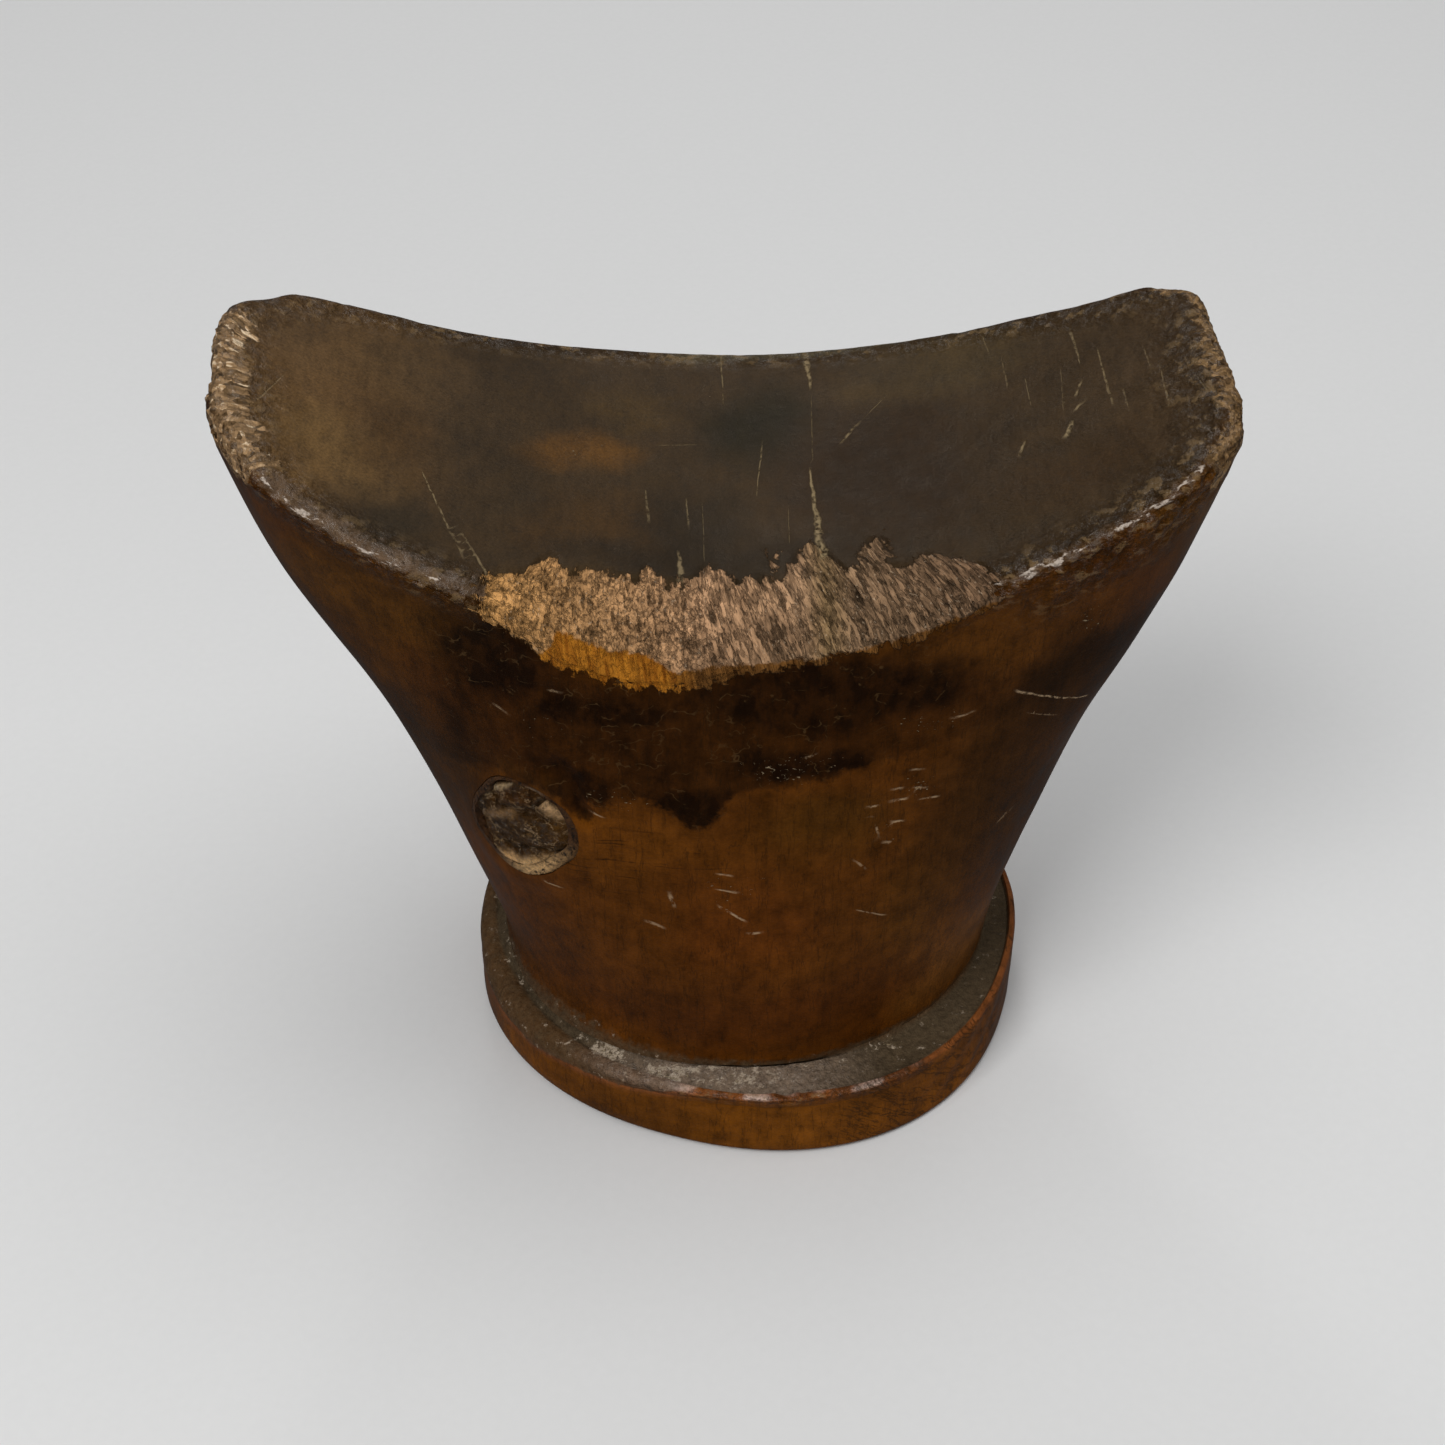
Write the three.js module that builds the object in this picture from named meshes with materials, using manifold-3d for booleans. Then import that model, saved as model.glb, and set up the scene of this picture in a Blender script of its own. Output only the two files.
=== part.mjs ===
// A neck rest (headrest) carved from one block of hardwood: an oval foot, a solid body that flares
// upwards, and a curved dish on top for the sleeper's neck. The block's only other pieces of wood
// are the encased knot on its left front flank, which is the dead base of a side branch, and the
// ring of bark that the trunk grew around when it closed over that branch.
//
// Millimetres, +Z up, +X along the dish, -Y towards the front. The origin is on the ground, under
// the middle of the dish.
import * as THREE from "three";
import { mergeVertices } from "three/addons/utils/BufferGeometryUtils.js";
import Module from "manifold-3d";

const wasm = await Module();
wasm.setup();

// ---- Driving dimensions --------------------------------------------------------------------

const HALF_WIDTH = 97.5; // the dish, from its middle to either end
const DISH_LOW = 139.5; // height of the dish at its lowest line
const DISH_SAG = 29; // how far the dish's ends stand above its lowest line, before they wore blunt
const FOOT_HEIGHT = 19;
const FOOT_HALF_WIDTH = 61;
const FOOT_HALF_DEPTH = 55.5;
const FOOT_TURN = THREE.MathUtils.degToRad(-19); // the oval's long axis, seen from above
const FOOT_X = 5; // the foot isn't quite under the middle of the dish
const FOOT_EDGE = 1.2; // the small bevel round the foot
const FOOT_EXPONENT = 2.2; // a little squarer than an ellipse

const TOP = DISH_LOW + DISH_SAG;

// The body's cross-section, from the foot's ledge (share 0) to the dish's ends (share 1). reach is
// how far it goes to either side, front and back how deep it is, and shift where its middle lies.
const SECTIONS = [
  { share: 0, reach: 54.5, front: 49.5, back: 49.5, shift: [5, 1.5] },
  { share: 0.25, reach: 62, front: 51, back: 51, shift: [4, 1] },
  { share: 0.5, reach: 73.5, front: 48, back: 48, shift: [3, 0.5] },
  { share: 0.75, reach: 89.5, front: 45, back: 43, shift: [1.5, -0.5] },
  { share: 1, reach: HALF_WIDTH, front: 49, back: 43, shift: [0, -1] },
];
// Exponents of the section's outline: 2 is an ellipse, and more is squarer.
const BASE_EXPONENT = 2;
const FRONT_EXPONENT = 2.3;
const BACK_EXPONENT = 3.3;
// At the dish, the back is deeper by these shares: all along, and more on the left than the right.
const BACK_SWELL = 0.045;
const BACK_TAPER = 0.08;
// Where the hand-cut outline stands out from its plain section: a direction from the middle, half
// the width of the swelling, both in degrees, how far it stands out at the dish, and how late on
// the way up it comes.
const SWELLS = [
  { towards: 115, half: 45, most: 2.4, power: 2 },
  { towards: 160, half: 20, most: 4, power: 2 },
  { towards: 18, half: 11, most: 4.5, power: 3 },
  { towards: -16, half: 17, most: 2, power: 2 },
  { towards: -32, half: 32, most: 1.4, power: 0.4 },
];
const RIGHT_END = 0.988; // the dish's right end is cut off flat at this share of its reach

// The front lip's worn facet: a shallow scoop between these two places on X, cut down to this
// depth below the lip's sharp edge.
const WEAR_FROM_X = -50;
const WEAR_TO_X = 48;
const WEAR_DEPTH = 9;
const END_WEAR_DEPTH = 4.5; // the same for the blunt facet at either end of the dish

// The knot: where its middle meets the flank, the pith that its branch grew from, its size at the
// flank, the bark around it, and how far it stands proud.
const KNOT_FACE = new THREE.Vector3(-41.7, -38.4, 82);
const KNOT_PITH = new THREE.Vector3(3, 0, 60);
const KNOT_RADIUS = 10.2;
const KNOT_PITH_RADIUS = 3;
const KNOT_OVAL = 0.235; // the branch is wider than its mean radius by this share one way
const KNOT_LEAN = THREE.MathUtils.degToRad(54.5); // how far that way leans from level
const BARK = 1.9;
const KNOT_PROUD = 1.5;
const GAP = 0.3; // between the knot, its bark and the trunk's wood

const SEGMENTS = 72; // round the body and the foot
const RINGS = 16; // up the body

// The foot's top has worn down on the left: a slope that starts this far from the foot's middle.
const FOOT_WEAR_TOWARDS = THREE.MathUtils.degToRad(208);
const FOOT_WEAR_FROM = 51.5;
const FOOT_WEAR_SLOPE = THREE.MathUtils.degToRad(26);

// ---- Helpers -------------------------------------------------------------------------------

// A closed geometry as a manifold-3d solid.
function solidOf(geometry) {
  const bare = geometry.clone();
  bare.deleteAttribute("normal");
  bare.deleteAttribute("uv");
  const merged = mergeVertices(bare, 1e-3);
  return new wasm.Manifold(
    new wasm.Mesh({
      numProp: 3,
      vertProperties: merged.attributes.position.array,
      triVerts: new Uint32Array(merged.index.array),
    }),
  );
}

function geometryOf(solid) {
  const mesh = solid.getMesh();
  const geometry = new THREE.BufferGeometry();
  geometry.setAttribute("position", new THREE.BufferAttribute(mesh.vertProperties, 3));
  geometry.setIndex(new THREE.BufferAttribute(mesh.triVerts, 1));
  geometry.computeVertexNormals();
  return geometry;
}

function signedPower(value, power) {
  return Math.sign(value) * Math.abs(value) ** power;
}

// 0 below the low value, 1 above the high one, and a smooth ramp between them.
function smooth(low, high, value) {
  return THREE.MathUtils.smoothstep((value - low) / (high - low), 0, 1);
}

// A smooth curve through one value of each section.
function alongSections(valueOf) {
  const points = SECTIONS.map((section) => new THREE.Vector2(section.share, valueOf(section)));
  const spline = new THREE.SplineCurve(points);
  return (share) => spline.getPoint(THREE.MathUtils.clamp(share, 0, 1)).y;
}

const reachAt = alongSections((section) => section.reach);
const frontAt = alongSections((section) => section.front);
const backAt = alongSections((section) => section.back);
const shiftXAt = alongSections((section) => section.shift[0]);
const shiftYAt = alongSections((section) => section.shift[1]);

// ---- The block of wood ---------------------------------------------------------------------

function footSolid() {
  const corners = [];
  for (let i = 0; i < SEGMENTS; i += 1) {
    const angle = (2 * Math.PI * i) / SEGMENTS;
    const x = (FOOT_HALF_WIDTH - FOOT_EDGE) * signedPower(Math.cos(angle), 2 / FOOT_EXPONENT);
    const y = (FOOT_HALF_DEPTH - FOOT_EDGE) * signedPower(Math.sin(angle), 2 / FOOT_EXPONENT);
    corners.push(new THREE.Vector2(x, y));
  }
  const outline = new THREE.Shape(corners);
  const foot = new THREE.ExtrudeGeometry(outline, {
    depth: FOOT_HEIGHT - 2 * FOOT_EDGE,
    bevelThickness: FOOT_EDGE,
    bevelSize: FOOT_EDGE,
    bevelSegments: 2,
  });
  foot.rotateZ(FOOT_TURN);
  foot.translate(FOOT_X, 0, FOOT_EDGE);
  return solidOf(foot);
}

// A box whose underside is the worn slope at the left of the foot's top.
function footWearCutter() {
  const size = 80;
  const cutter = new THREE.BoxGeometry(size, 2 * size, size);
  cutter.translate(size / 2, 0, size / 2);
  cutter.rotateY(FOOT_WEAR_SLOPE);
  cutter.translate(FOOT_WEAR_FROM, 0, FOOT_HEIGHT);
  cutter.rotateZ(FOOT_WEAR_TOWARDS);
  cutter.translate(FOOT_X, 0, 0);
  return solidOf(cutter);
}

// How far the outline stands out at this share of the body's height, in the direction of x and y.
function swellAt(x, y, share) {
  const direction = THREE.MathUtils.radToDeg(Math.atan2(y, x));
  let total = 0;
  for (const { towards, half, most, power } of SWELLS) {
    total += most * smooth(half, 0, Math.abs(direction - towards)) * share ** power;
  }
  return total;
}

// How much of x is lost where the dish's right end is cut off flat, with a rounded corner.
function lostAtRightEnd(x, share) {
  const rounding = 1.2;
  const end = reachAt(share) * (1 - (1 - RIGHT_END) * smooth(0.6, 1, share));
  return x > 0 ? rounding * Math.log1p(Math.exp((x - end) / rounding)) : 0;
}

// One place on the section's outline, as a turn from +X, seen from above.
function outlinePoint(cos, sin, share) {
  const inFront = sin < 0;
  const squareness = inFront ? FRONT_EXPONENT : BACK_EXPONENT;
  const exponent = THREE.MathUtils.lerp(BASE_EXPONENT, squareness, share);
  const fullerBack = 1 + share * (BACK_SWELL - BACK_TAPER * cos);
  const depth = inFront ? frontAt(share) : backAt(share) * fullerBack;
  const x = reachAt(share) * signedPower(cos, 2 / exponent);
  const y = depth * signedPower(sin, 2 / exponent);
  const length = Math.max(Math.hypot(x, y), 1e-6);
  const stretch = 1 + swellAt(x, y, share) / length;
  const across = x * stretch - lostAtRightEnd(x * stretch, share);
  return new THREE.Vector2(across + shiftXAt(share), y * stretch + shiftYAt(share));
}

// The flaring body is turned as a plain column, and each of its rings is then squeezed to the
// outline that the section has at that height. It reaches down into the foot and up past the dish.
function bodySolid() {
  const sunk = FOOT_HEIGHT / 2;
  const past = 6;
  const profile = [new THREE.Vector2(0, FOOT_HEIGHT - sunk)];
  profile.push(new THREE.Vector2(1, FOOT_HEIGHT - sunk));
  for (let ring = 0; ring <= RINGS; ring += 1) {
    const height = THREE.MathUtils.lerp(FOOT_HEIGHT, TOP, ring / RINGS);
    profile.push(new THREE.Vector2(1, height));
  }
  profile.push(new THREE.Vector2(1, TOP + past));
  profile.push(new THREE.Vector2(0, TOP + past));
  const column = new THREE.LatheGeometry(profile, SEGMENTS);
  column.rotateX(Math.PI / 2);

  const position = column.attributes.position;
  for (let i = 0; i < position.count; i += 1) {
    const z = position.getZ(i);
    const share = THREE.MathUtils.clamp((z - FOOT_HEIGHT) / (TOP - FOOT_HEIGHT), 0, 1);
    const onAxis = Math.hypot(position.getX(i), position.getY(i)) < 0.5;
    if (onAxis) {
      position.setXY(i, shiftXAt(share), shiftYAt(share));
      continue;
    }
    const place = outlinePoint(position.getX(i), position.getY(i), share);
    position.setXY(i, place.x, place.y);
  }
  return solidOf(column);
}

// What is carved away to make the dish: everything above a circular arc that runs along X.
function dishCutter() {
  const radius = (HALF_WIDTH ** 2 + DISH_SAG ** 2) / (2 * DISH_SAG);
  const centre = DISH_LOW + radius;
  const halfAngle = Math.asin((HALF_WIDTH + 20) / radius);
  const above = new THREE.Shape();
  above.absarc(0, centre, radius, -Math.PI / 2 - halfAngle, -Math.PI / 2 + halfAngle, false);
  above.lineTo(radius, TOP + 40);
  above.lineTo(-radius, TOP + 40);
  const length = 4 * FOOT_HALF_DEPTH;
  const cutter = new THREE.ExtrudeGeometry(above, {
    depth: length,
    bevelEnabled: false,
    curveSegments: 40,
  });
  cutter.rotateX(Math.PI / 2);
  cutter.translate(0, length / 2, 0);
  return solidOf(cutter);
}

// A wide cylinder laid against the front lip at 45 degrees. It cuts the long flat facet that use
// has worn there, deepest in the middle and running out at either end.
function lipWearCutter() {
  const halfLength = (WEAR_TO_X - WEAR_FROM_X) / 2;
  const radius = (halfLength ** 2 + WEAR_DEPTH ** 2) / (2 * WEAR_DEPTH);
  const outward = new THREE.Vector3(0, -1, 1).normalize();
  const lip = new THREE.Vector3((WEAR_FROM_X + WEAR_TO_X) / 2, shiftYAt(1) - frontAt(1), DISH_LOW);
  const centre = lip.addScaledVector(outward, radius - WEAR_DEPTH);
  const cutter = new THREE.CylinderGeometry(radius, radius, 4 * WEAR_DEPTH, 2 * SEGMENTS);
  cutter.rotateX(Math.PI / 4);
  cutter.translate(centre.x, centre.y, centre.z);
  return solidOf(cutter);
}

// A box with one face at 45 degrees to the dish's end, on the left (side -1) or right (side 1).
function endWearCutter(side) {
  const size = 60;
  const outward = new THREE.Vector3(side, 0, 1).normalize();
  const end = new THREE.Vector3(side * HALF_WIDTH, 0, TOP);
  const centre = end.addScaledVector(outward, size / 2 - END_WEAR_DEPTH);
  const cutter = new THREE.BoxGeometry(size, 4 * size, size);
  cutter.rotateY(Math.PI / 4);
  cutter.translate(centre.x, centre.y, centre.z);
  return solidOf(cutter);
}

// ---- The knot and its bark -----------------------------------------------------------------

// An oval cone that widens from the pith to the flank and goes on past it by the given length. It is
// the branch's own shape, made wider all round by the extra radius.
function branchCone(extraRadius, past) {
  const axis = new THREE.Vector3().subVectors(KNOT_FACE, KNOT_PITH);
  const length = axis.length();
  axis.normalize();
  const slope = (KNOT_RADIUS - KNOT_PITH_RADIUS) / length;
  const topRadius = KNOT_RADIUS + slope * past;
  const cone = new THREE.CylinderGeometry(topRadius, KNOT_PITH_RADIUS, length + past, 40);
  const position = cone.attributes.position;
  for (let i = 0; i < position.count; i += 1) {
    const x = position.getX(i);
    const z = position.getZ(i);
    const radius = Math.hypot(x, z);
    if (radius > 0.5) {
      const turn = Math.atan2(-z, x) - KNOT_LEAN;
      const stretch = 1 + KNOT_OVAL * Math.cos(2 * turn) + extraRadius / radius;
      position.setX(i, x * stretch);
      position.setZ(i, z * stretch);
    }
  }
  cone.translate(0, (length + past) / 2, 0);
  const right = new THREE.Vector3(0, 0, 1).cross(axis).normalize();
  const down = new THREE.Vector3().crossVectors(right, axis);
  cone.applyMatrix4(new THREE.Matrix4().makeBasis(right, axis, down));
  cone.translate(KNOT_PITH.x, KNOT_PITH.y, KNOT_PITH.z);
  return solidOf(cone);
}

// The body's own outline, moved outwards, so that the knot and the bark end in a face that follows
// the flank a little proud of it.
function flankMovedOut(distance) {
  const axis = new THREE.Vector3().subVectors(KNOT_FACE, KNOT_PITH).normalize();
  return bodySolid().translate([axis.x * distance, axis.y * distance, axis.z * distance]);
}

const PAST_FLANK = 30;
const socket = branchCone(BARK + 2 * GAP, PAST_FLANK);
const knot = branchCone(0, PAST_FLANK).intersect(flankMovedOut(KNOT_PROUD));
const bark = branchCone(BARK + GAP, PAST_FLANK)
  .intersect(flankMovedOut(KNOT_PROUD / 2))
  .subtract(branchCone(GAP, PAST_FLANK));

const block = footSolid()
  .subtract(footWearCutter())
  .add(bodySolid())
  .subtract(dishCutter())
  .subtract(lipWearCutter())
  .subtract(endWearCutter(-1))
  .subtract(endWearCutter(1))
  .subtract(socket);

// ---- The scene graph -----------------------------------------------------------------------

function piece(name, solid, colour, roughness) {
  const material = new THREE.MeshStandardMaterial({ color: colour, roughness, metalness: 0 });
  const mesh = new THREE.Mesh(geometryOf(solid), material);
  mesh.name = name;
  return mesh;
}

const headrest = new THREE.Group();
headrest.add(piece("carved_block", block, 0x3f2412, 0.45));
headrest.add(piece("branch_knot", knot, 0x4a3222, 0.6));
headrest.add(piece("knot_bark", bark, 0x8a6f52, 0.8));

export default headrest;
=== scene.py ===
"""The looks of a neck rest carved from one block of wood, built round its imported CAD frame.

The block is one closed mesh. It is laid out as columns that stand round the block, and rings that
run from the middle of its underside out to the foot's edge, up the foot and the flank, over the rim
and in to the middle of the dish. The knot and its bark are pieces of their own, in a socket.

Lengths are in millimetres until a mesh is made. +X runs along the dish and -Y is the front.
"""

import math

import bpy
import numpy as np
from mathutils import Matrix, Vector
from mathutils.kdtree import KDTree


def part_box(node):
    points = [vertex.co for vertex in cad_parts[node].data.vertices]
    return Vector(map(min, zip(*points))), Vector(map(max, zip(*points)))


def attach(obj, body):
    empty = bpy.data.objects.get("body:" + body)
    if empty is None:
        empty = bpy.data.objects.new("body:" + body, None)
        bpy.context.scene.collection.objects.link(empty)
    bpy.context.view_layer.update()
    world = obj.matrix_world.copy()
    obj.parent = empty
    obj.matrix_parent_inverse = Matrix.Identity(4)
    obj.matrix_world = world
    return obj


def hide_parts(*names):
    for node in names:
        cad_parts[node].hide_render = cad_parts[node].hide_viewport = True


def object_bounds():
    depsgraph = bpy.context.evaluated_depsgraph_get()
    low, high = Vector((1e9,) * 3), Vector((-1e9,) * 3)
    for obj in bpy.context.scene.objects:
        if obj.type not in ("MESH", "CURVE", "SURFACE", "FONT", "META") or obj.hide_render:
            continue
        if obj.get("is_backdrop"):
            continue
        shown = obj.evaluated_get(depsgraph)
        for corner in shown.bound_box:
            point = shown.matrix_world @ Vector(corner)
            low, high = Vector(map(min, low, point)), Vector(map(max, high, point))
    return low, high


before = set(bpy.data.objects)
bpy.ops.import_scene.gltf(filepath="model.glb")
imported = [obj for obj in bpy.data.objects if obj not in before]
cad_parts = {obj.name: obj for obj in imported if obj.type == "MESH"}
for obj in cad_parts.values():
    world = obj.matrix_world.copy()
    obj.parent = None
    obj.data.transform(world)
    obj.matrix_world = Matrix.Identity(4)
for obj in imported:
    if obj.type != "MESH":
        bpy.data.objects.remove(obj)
cad_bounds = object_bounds()

MM = 0.001

# ---- Sizes, from the frame ----

BLOCK_LOW, BLOCK_HIGH = (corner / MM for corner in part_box("carved_block"))
HALF_WIDTH = (BLOCK_HIGH.x - BLOCK_LOW.x) / 2 * 1.0112  # before the dish's ends wore blunt
TOP = BLOCK_HIGH.z * 1.015  # likewise
DISH_SAG = 0.297 * HALF_WIDTH
DISH_LOW = TOP - DISH_SAG
DISH_RADIUS = (HALF_WIDTH**2 + DISH_SAG**2) / (2 * DISH_SAG)

FOOT_HEIGHT = 19.0
FOOT_HALF_WIDTH = 61.0
FOOT_HALF_DEPTH = 55.5
FOOT_TURN = math.radians(-19)
FOOT_X = 5.0
FOOT_EDGE = 1.3

# The body's sections, evenly spaced from the foot's ledge up to the dish's ends.
REACH = [54.5, 62.0, 73.5, 89.5, HALF_WIDTH]
FRONT = [49.5, 51.0, 48.0, 45.0, 49.0]
BACK = [49.5, 51.0, 48.0, 43.0, 43.0]
SHIFT_X = [5.0, 4.0, 3.0, 1.5, 0.0]
SHIFT_Y = [1.5, 1.0, 0.5, -0.5, -1.0]
BASE_EXPONENT, FRONT_EXPONENT, BACK_EXPONENT = 2.0, 2.3, 3.3
BACK_SWELL, BACK_TAPER = 0.045, 0.08  # at the dish, the back is deeper on the left than on the right
FOOT_EXPONENT = 2.2

# Where the body's outline swells on its way up to the dish: a direction seen from above and half a
# width in degrees, the amount at the dish, and how late it comes on.
SWELLS = [
    (115, 45, 2.4, 2.0),
    (160, 20, 4.0, 2.0),
    (18, 11, 4.5, 3.0),
    (-16, 17, 2.0, 2.0),
    (-32, 32, 1.4, 0.4),
]
RIGHT_END = 0.988  # the dish's right end is cut off flat at this share of its reach

# The front lip's wear: a place on X, how far it reaches down the flank and how far into the dish.
LIP_WEAR = [
    (-52, 0, 0),
    (-44, 3, 5),
    (-34, 10, 10),
    (-22, 12.5, 11),
    (-10, 11.5, 11),
    (2, 7, 11),
    (28, 5, 11),
    (38, 3, 9),
    (47, 0.5, 4),
    (54, 0, 0),
]
RIM_WEAR = 3.0  # what has worn off the rest of the rim, either way
END_WEAR = 3.5  # and what more has gone from the dish's two ends

# Tongues of raw wood that run on into the dish: a place on the lip, half a width and a length.
TONGUES = [
    (-37, 3.0, 4.5),
    (-28, 3.5, 1.5),
    (-16.4, 1.6, 3.0),
    (-3, 4.4, 3.4),
    (11.5, 1.4, 3.0),
    (17.2, 5.6, 8.5),
    (42, 6.0, 3.5),
]
# Spots of raw wood that lie on their own in the dish: a place on X and Y, and half sizes.
RAW_SPOTS = [
    (26.7, -27.6, 2.6, 3.8),
    (11.2, -30.5, 1.2, 2.4),
    (8.3, -27.8, 0.9, 1.8),
]

KNOT_FACE = np.array([-41.7, -38.4, 82.0])
KNOT_PITH = np.array([3.0, 0.0, 60.0])
KNOT_RADIUS, KNOT_PITH_RADIUS, BARK, GAP = 10.2, 3.0, 1.9, 0.08
KNOT_LIFT = 1.2  # the dead branch lies this much above the middle of its bark
KNOT_OVAL, KNOT_LEAN = 0.235, math.radians(54.5)  # how oval it is, and which way its long axis leans

# ---- Noise and small helpers ----


def lattice(cells, seed):
    """One repeatable number from -1 to 1 for each whole-numbered cell."""
    x, y, z = (cells[..., i].astype(np.int64) for i in range(3))
    h = (x * 374761393 + y * 668265263 + z * 1440662683 + seed * 974634777) & 0xFFFFFFFF
    h = ((h ^ (h >> 13)) * 1274126177) & 0xFFFFFFFF
    h = ((h ^ (h >> 16)) * 2246822519) & 0xFFFFFFFF
    return ((h ^ (h >> 15)) & 0xFFFFFF) / float(0x7FFFFF) - 1.0


def noise(points, size, seed):
    """Smooth noise from about -1 to 1. size is its grain in millimetres, one number or three."""
    p = points / np.asarray(size, float)
    cell = np.floor(p)
    t = p - cell
    t = t * t * t * (t * (t * 6 - 15) + 10)
    total = np.zeros(len(p))
    for corner in np.ndindex(2, 2, 2):
        weight = np.prod(np.where(corner, t, 1 - t), axis=1)
        total += weight * lattice(cell + corner, seed)
    return total


def layered_noise(points, size, seed, octaves=3):
    """Noise with finer and weaker grain added to it."""
    size = np.asarray(size, float)
    total = sum(noise(points, size / 2**k, seed + k) / 2**k for k in range(octaves))
    return total / sum(1 / 2**k for k in range(octaves))


def facets(points, size, seed):
    """Chipped facets: each cell of a loose grid tilts its own way, by up to about 1."""
    p = points / np.asarray(size, float)
    home = np.floor(p)
    nearest = np.full(len(p), 99.0)
    height = np.zeros(len(p))
    for corner in np.ndindex(3, 3, 3):
        cell = home + corner - 1
        middle = cell + 0.5 + 0.45 * np.stack([lattice(cell, seed + k) for k in range(3)], axis=1)
        way = np.stack([lattice(cell, seed + k) for k in range(3, 6)], axis=1)
        distance = length_of(p - middle)
        closer = distance < nearest
        nearest = np.where(closer, distance, nearest)
        height = np.where(closer, ((p - middle) * way).sum(axis=1), height)
    return height


def smooth(low, high, value):
    t = np.clip((value - low) / (high - low), 0, 1)
    return t * t * (3 - 2 * t)


def bump(value, middle, half_width):
    """1 at the middle, and smoothly down to 0 at half_width away."""
    return smooth(1, 0, np.abs((value - middle) / half_width))


def along_sections(values, share):
    """A Catmull-Rom curve through the sections' values."""
    values = np.asarray(values, float)
    last = len(values) - 1
    t = np.clip(share, 0, 1) * last
    i = np.minimum(np.floor(t).astype(int), last - 1)
    w = t - i
    p0, p1 = values[np.maximum(i - 1, 0)], values[i]
    p2, p3 = values[i + 1], values[np.minimum(i + 2, last)]
    v0, v1 = (p2 - p0) / 2, (p3 - p1) / 2
    a, b = 2 * p1 - 2 * p2 + v0 + v1, -3 * p1 + 3 * p2 - 2 * v0 - v1
    return a * w**3 + b * w**2 + v0 * w + p1


def tinted(colour, other, weight):
    """The colours, moved towards another by each point's weight."""
    return colour + (np.asarray(other) - colour) * weight[:, None]


def shaded(colour, brightness):
    return np.asarray(colour) * brightness[:, None]


def signed_power(value, power):
    return np.sign(value) * np.abs(value) ** power


def length_of(vectors):
    return np.sqrt((vectors**2).sum(axis=-1))


# ---- The block's surfaces ----


def section_at(z):
    """The section's reach, front and back depths, and shifts at this height, and its share."""
    share = np.clip((z - FOOT_HEIGHT) / (TOP - FOOT_HEIGHT), 0, 1)
    return share, [along_sections(v, share) for v in (REACH, FRONT, BACK, SHIFT_X, SHIFT_Y)]


def swell(x, y, share):
    """How far the outline stands out from its plain section."""
    degrees = np.degrees(np.arctan2(y, x))
    late = np.maximum(share, 0.001)
    return sum(most * bump(degrees, at, half) * late**power for at, half, most, power in SWELLS)


def flank(angle, z):
    """x and y of the body's outside at this height, at an angle round the section."""
    share, (reach, front, back, shift_x, shift_y) = section_at(z)
    in_front = np.sin(angle) < 0
    square = np.where(in_front, FRONT_EXPONENT, BACK_EXPONENT)
    power = 2 / (BASE_EXPONENT + (square - BASE_EXPONENT) * share)
    x = reach * signed_power(np.cos(angle), power)
    back = back * (1 + share * (BACK_SWELL - BACK_TAPER * np.cos(angle)))
    y = np.where(in_front, front, back) * signed_power(np.sin(angle), power)
    stretch = 1 + swell(x, y, share) / np.hypot(x, y)
    x, y = x * stretch, y * stretch
    past_end = x - reach * (1 - (1 - RIGHT_END) * smooth(0.6, 1, share))
    x = x - np.where(x > 0, 1.2 * np.logaddexp(0, past_end / 1.2), 0)
    return x + shift_x, y + shift_y


def outside_flank(points):
    """Above 0 where a point lies outside the body's flank, and below 0 inside."""
    share, (reach, front, back, shift_x, shift_y) = section_at(points[:, 2])
    x, y = points[:, 0] - shift_x, points[:, 1] - shift_y
    square = np.where(y < 0, FRONT_EXPONENT, BACK_EXPONENT)
    power = BASE_EXPONENT + (square - BASE_EXPONENT) * share
    depth = np.where(y < 0, front, back)
    return np.abs(x / reach) ** power + np.abs(y / depth) ** power - 1


def dish_height(x):
    return DISH_LOW + DISH_RADIUS - np.sqrt(DISH_RADIUS**2 - x**2)


def crest_points(angles):
    """Where the flank would meet the dish, if nothing were worn."""
    low, high = np.full_like(angles, DISH_LOW - 20), np.full_like(angles, TOP + 10)
    for _ in range(30):
        middle = (low + high) / 2
        above = middle > dish_height(flank(angles, middle)[0])
        high = np.where(above, middle, high)
        low = np.where(above, low, middle)
    return ring(*flank(angles, low), low)


def ring(x, y, z):
    return np.stack([x, y, np.broadcast_to(z, np.shape(x))], axis=1)


def foot_oval(angle, inset):
    """The foot's outline, moved in by inset, at the angle where the flank's column stands."""
    turned = angle - FOOT_TURN
    x = (FOOT_HALF_WIDTH - inset) * signed_power(np.cos(turned), 2 / FOOT_EXPONENT)
    y = (FOOT_HALF_DEPTH - inset) * signed_power(np.sin(turned), 2 / FOOT_EXPONENT)
    c, s = math.cos(FOOT_TURN), math.sin(FOOT_TURN)
    return FOOT_X + x * c - y * s, x * s + y * c


def foot_top(angle):
    """Height of the foot's outer top edge, which is worn down on the left, and how round it is."""
    degrees = np.degrees(angle)
    worn = bump(degrees, 205, 62)
    return FOOT_HEIGHT - 4.3 * worn - 1.2 * bump(degrees, 250, 40), FOOT_EDGE + 3.2 * worn


# ---- The block's grid of columns and rings ----

LIP_SPACING, END_SPACING, FRONT_SPACING, BACK_SPACING = 0.5, 0.75, 1.15, 1.7
RING_COUNTS = {"under": 6, "foot": 12, "ledge": 10, "flank": 70, "rim": 28, "dish": 22}


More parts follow.
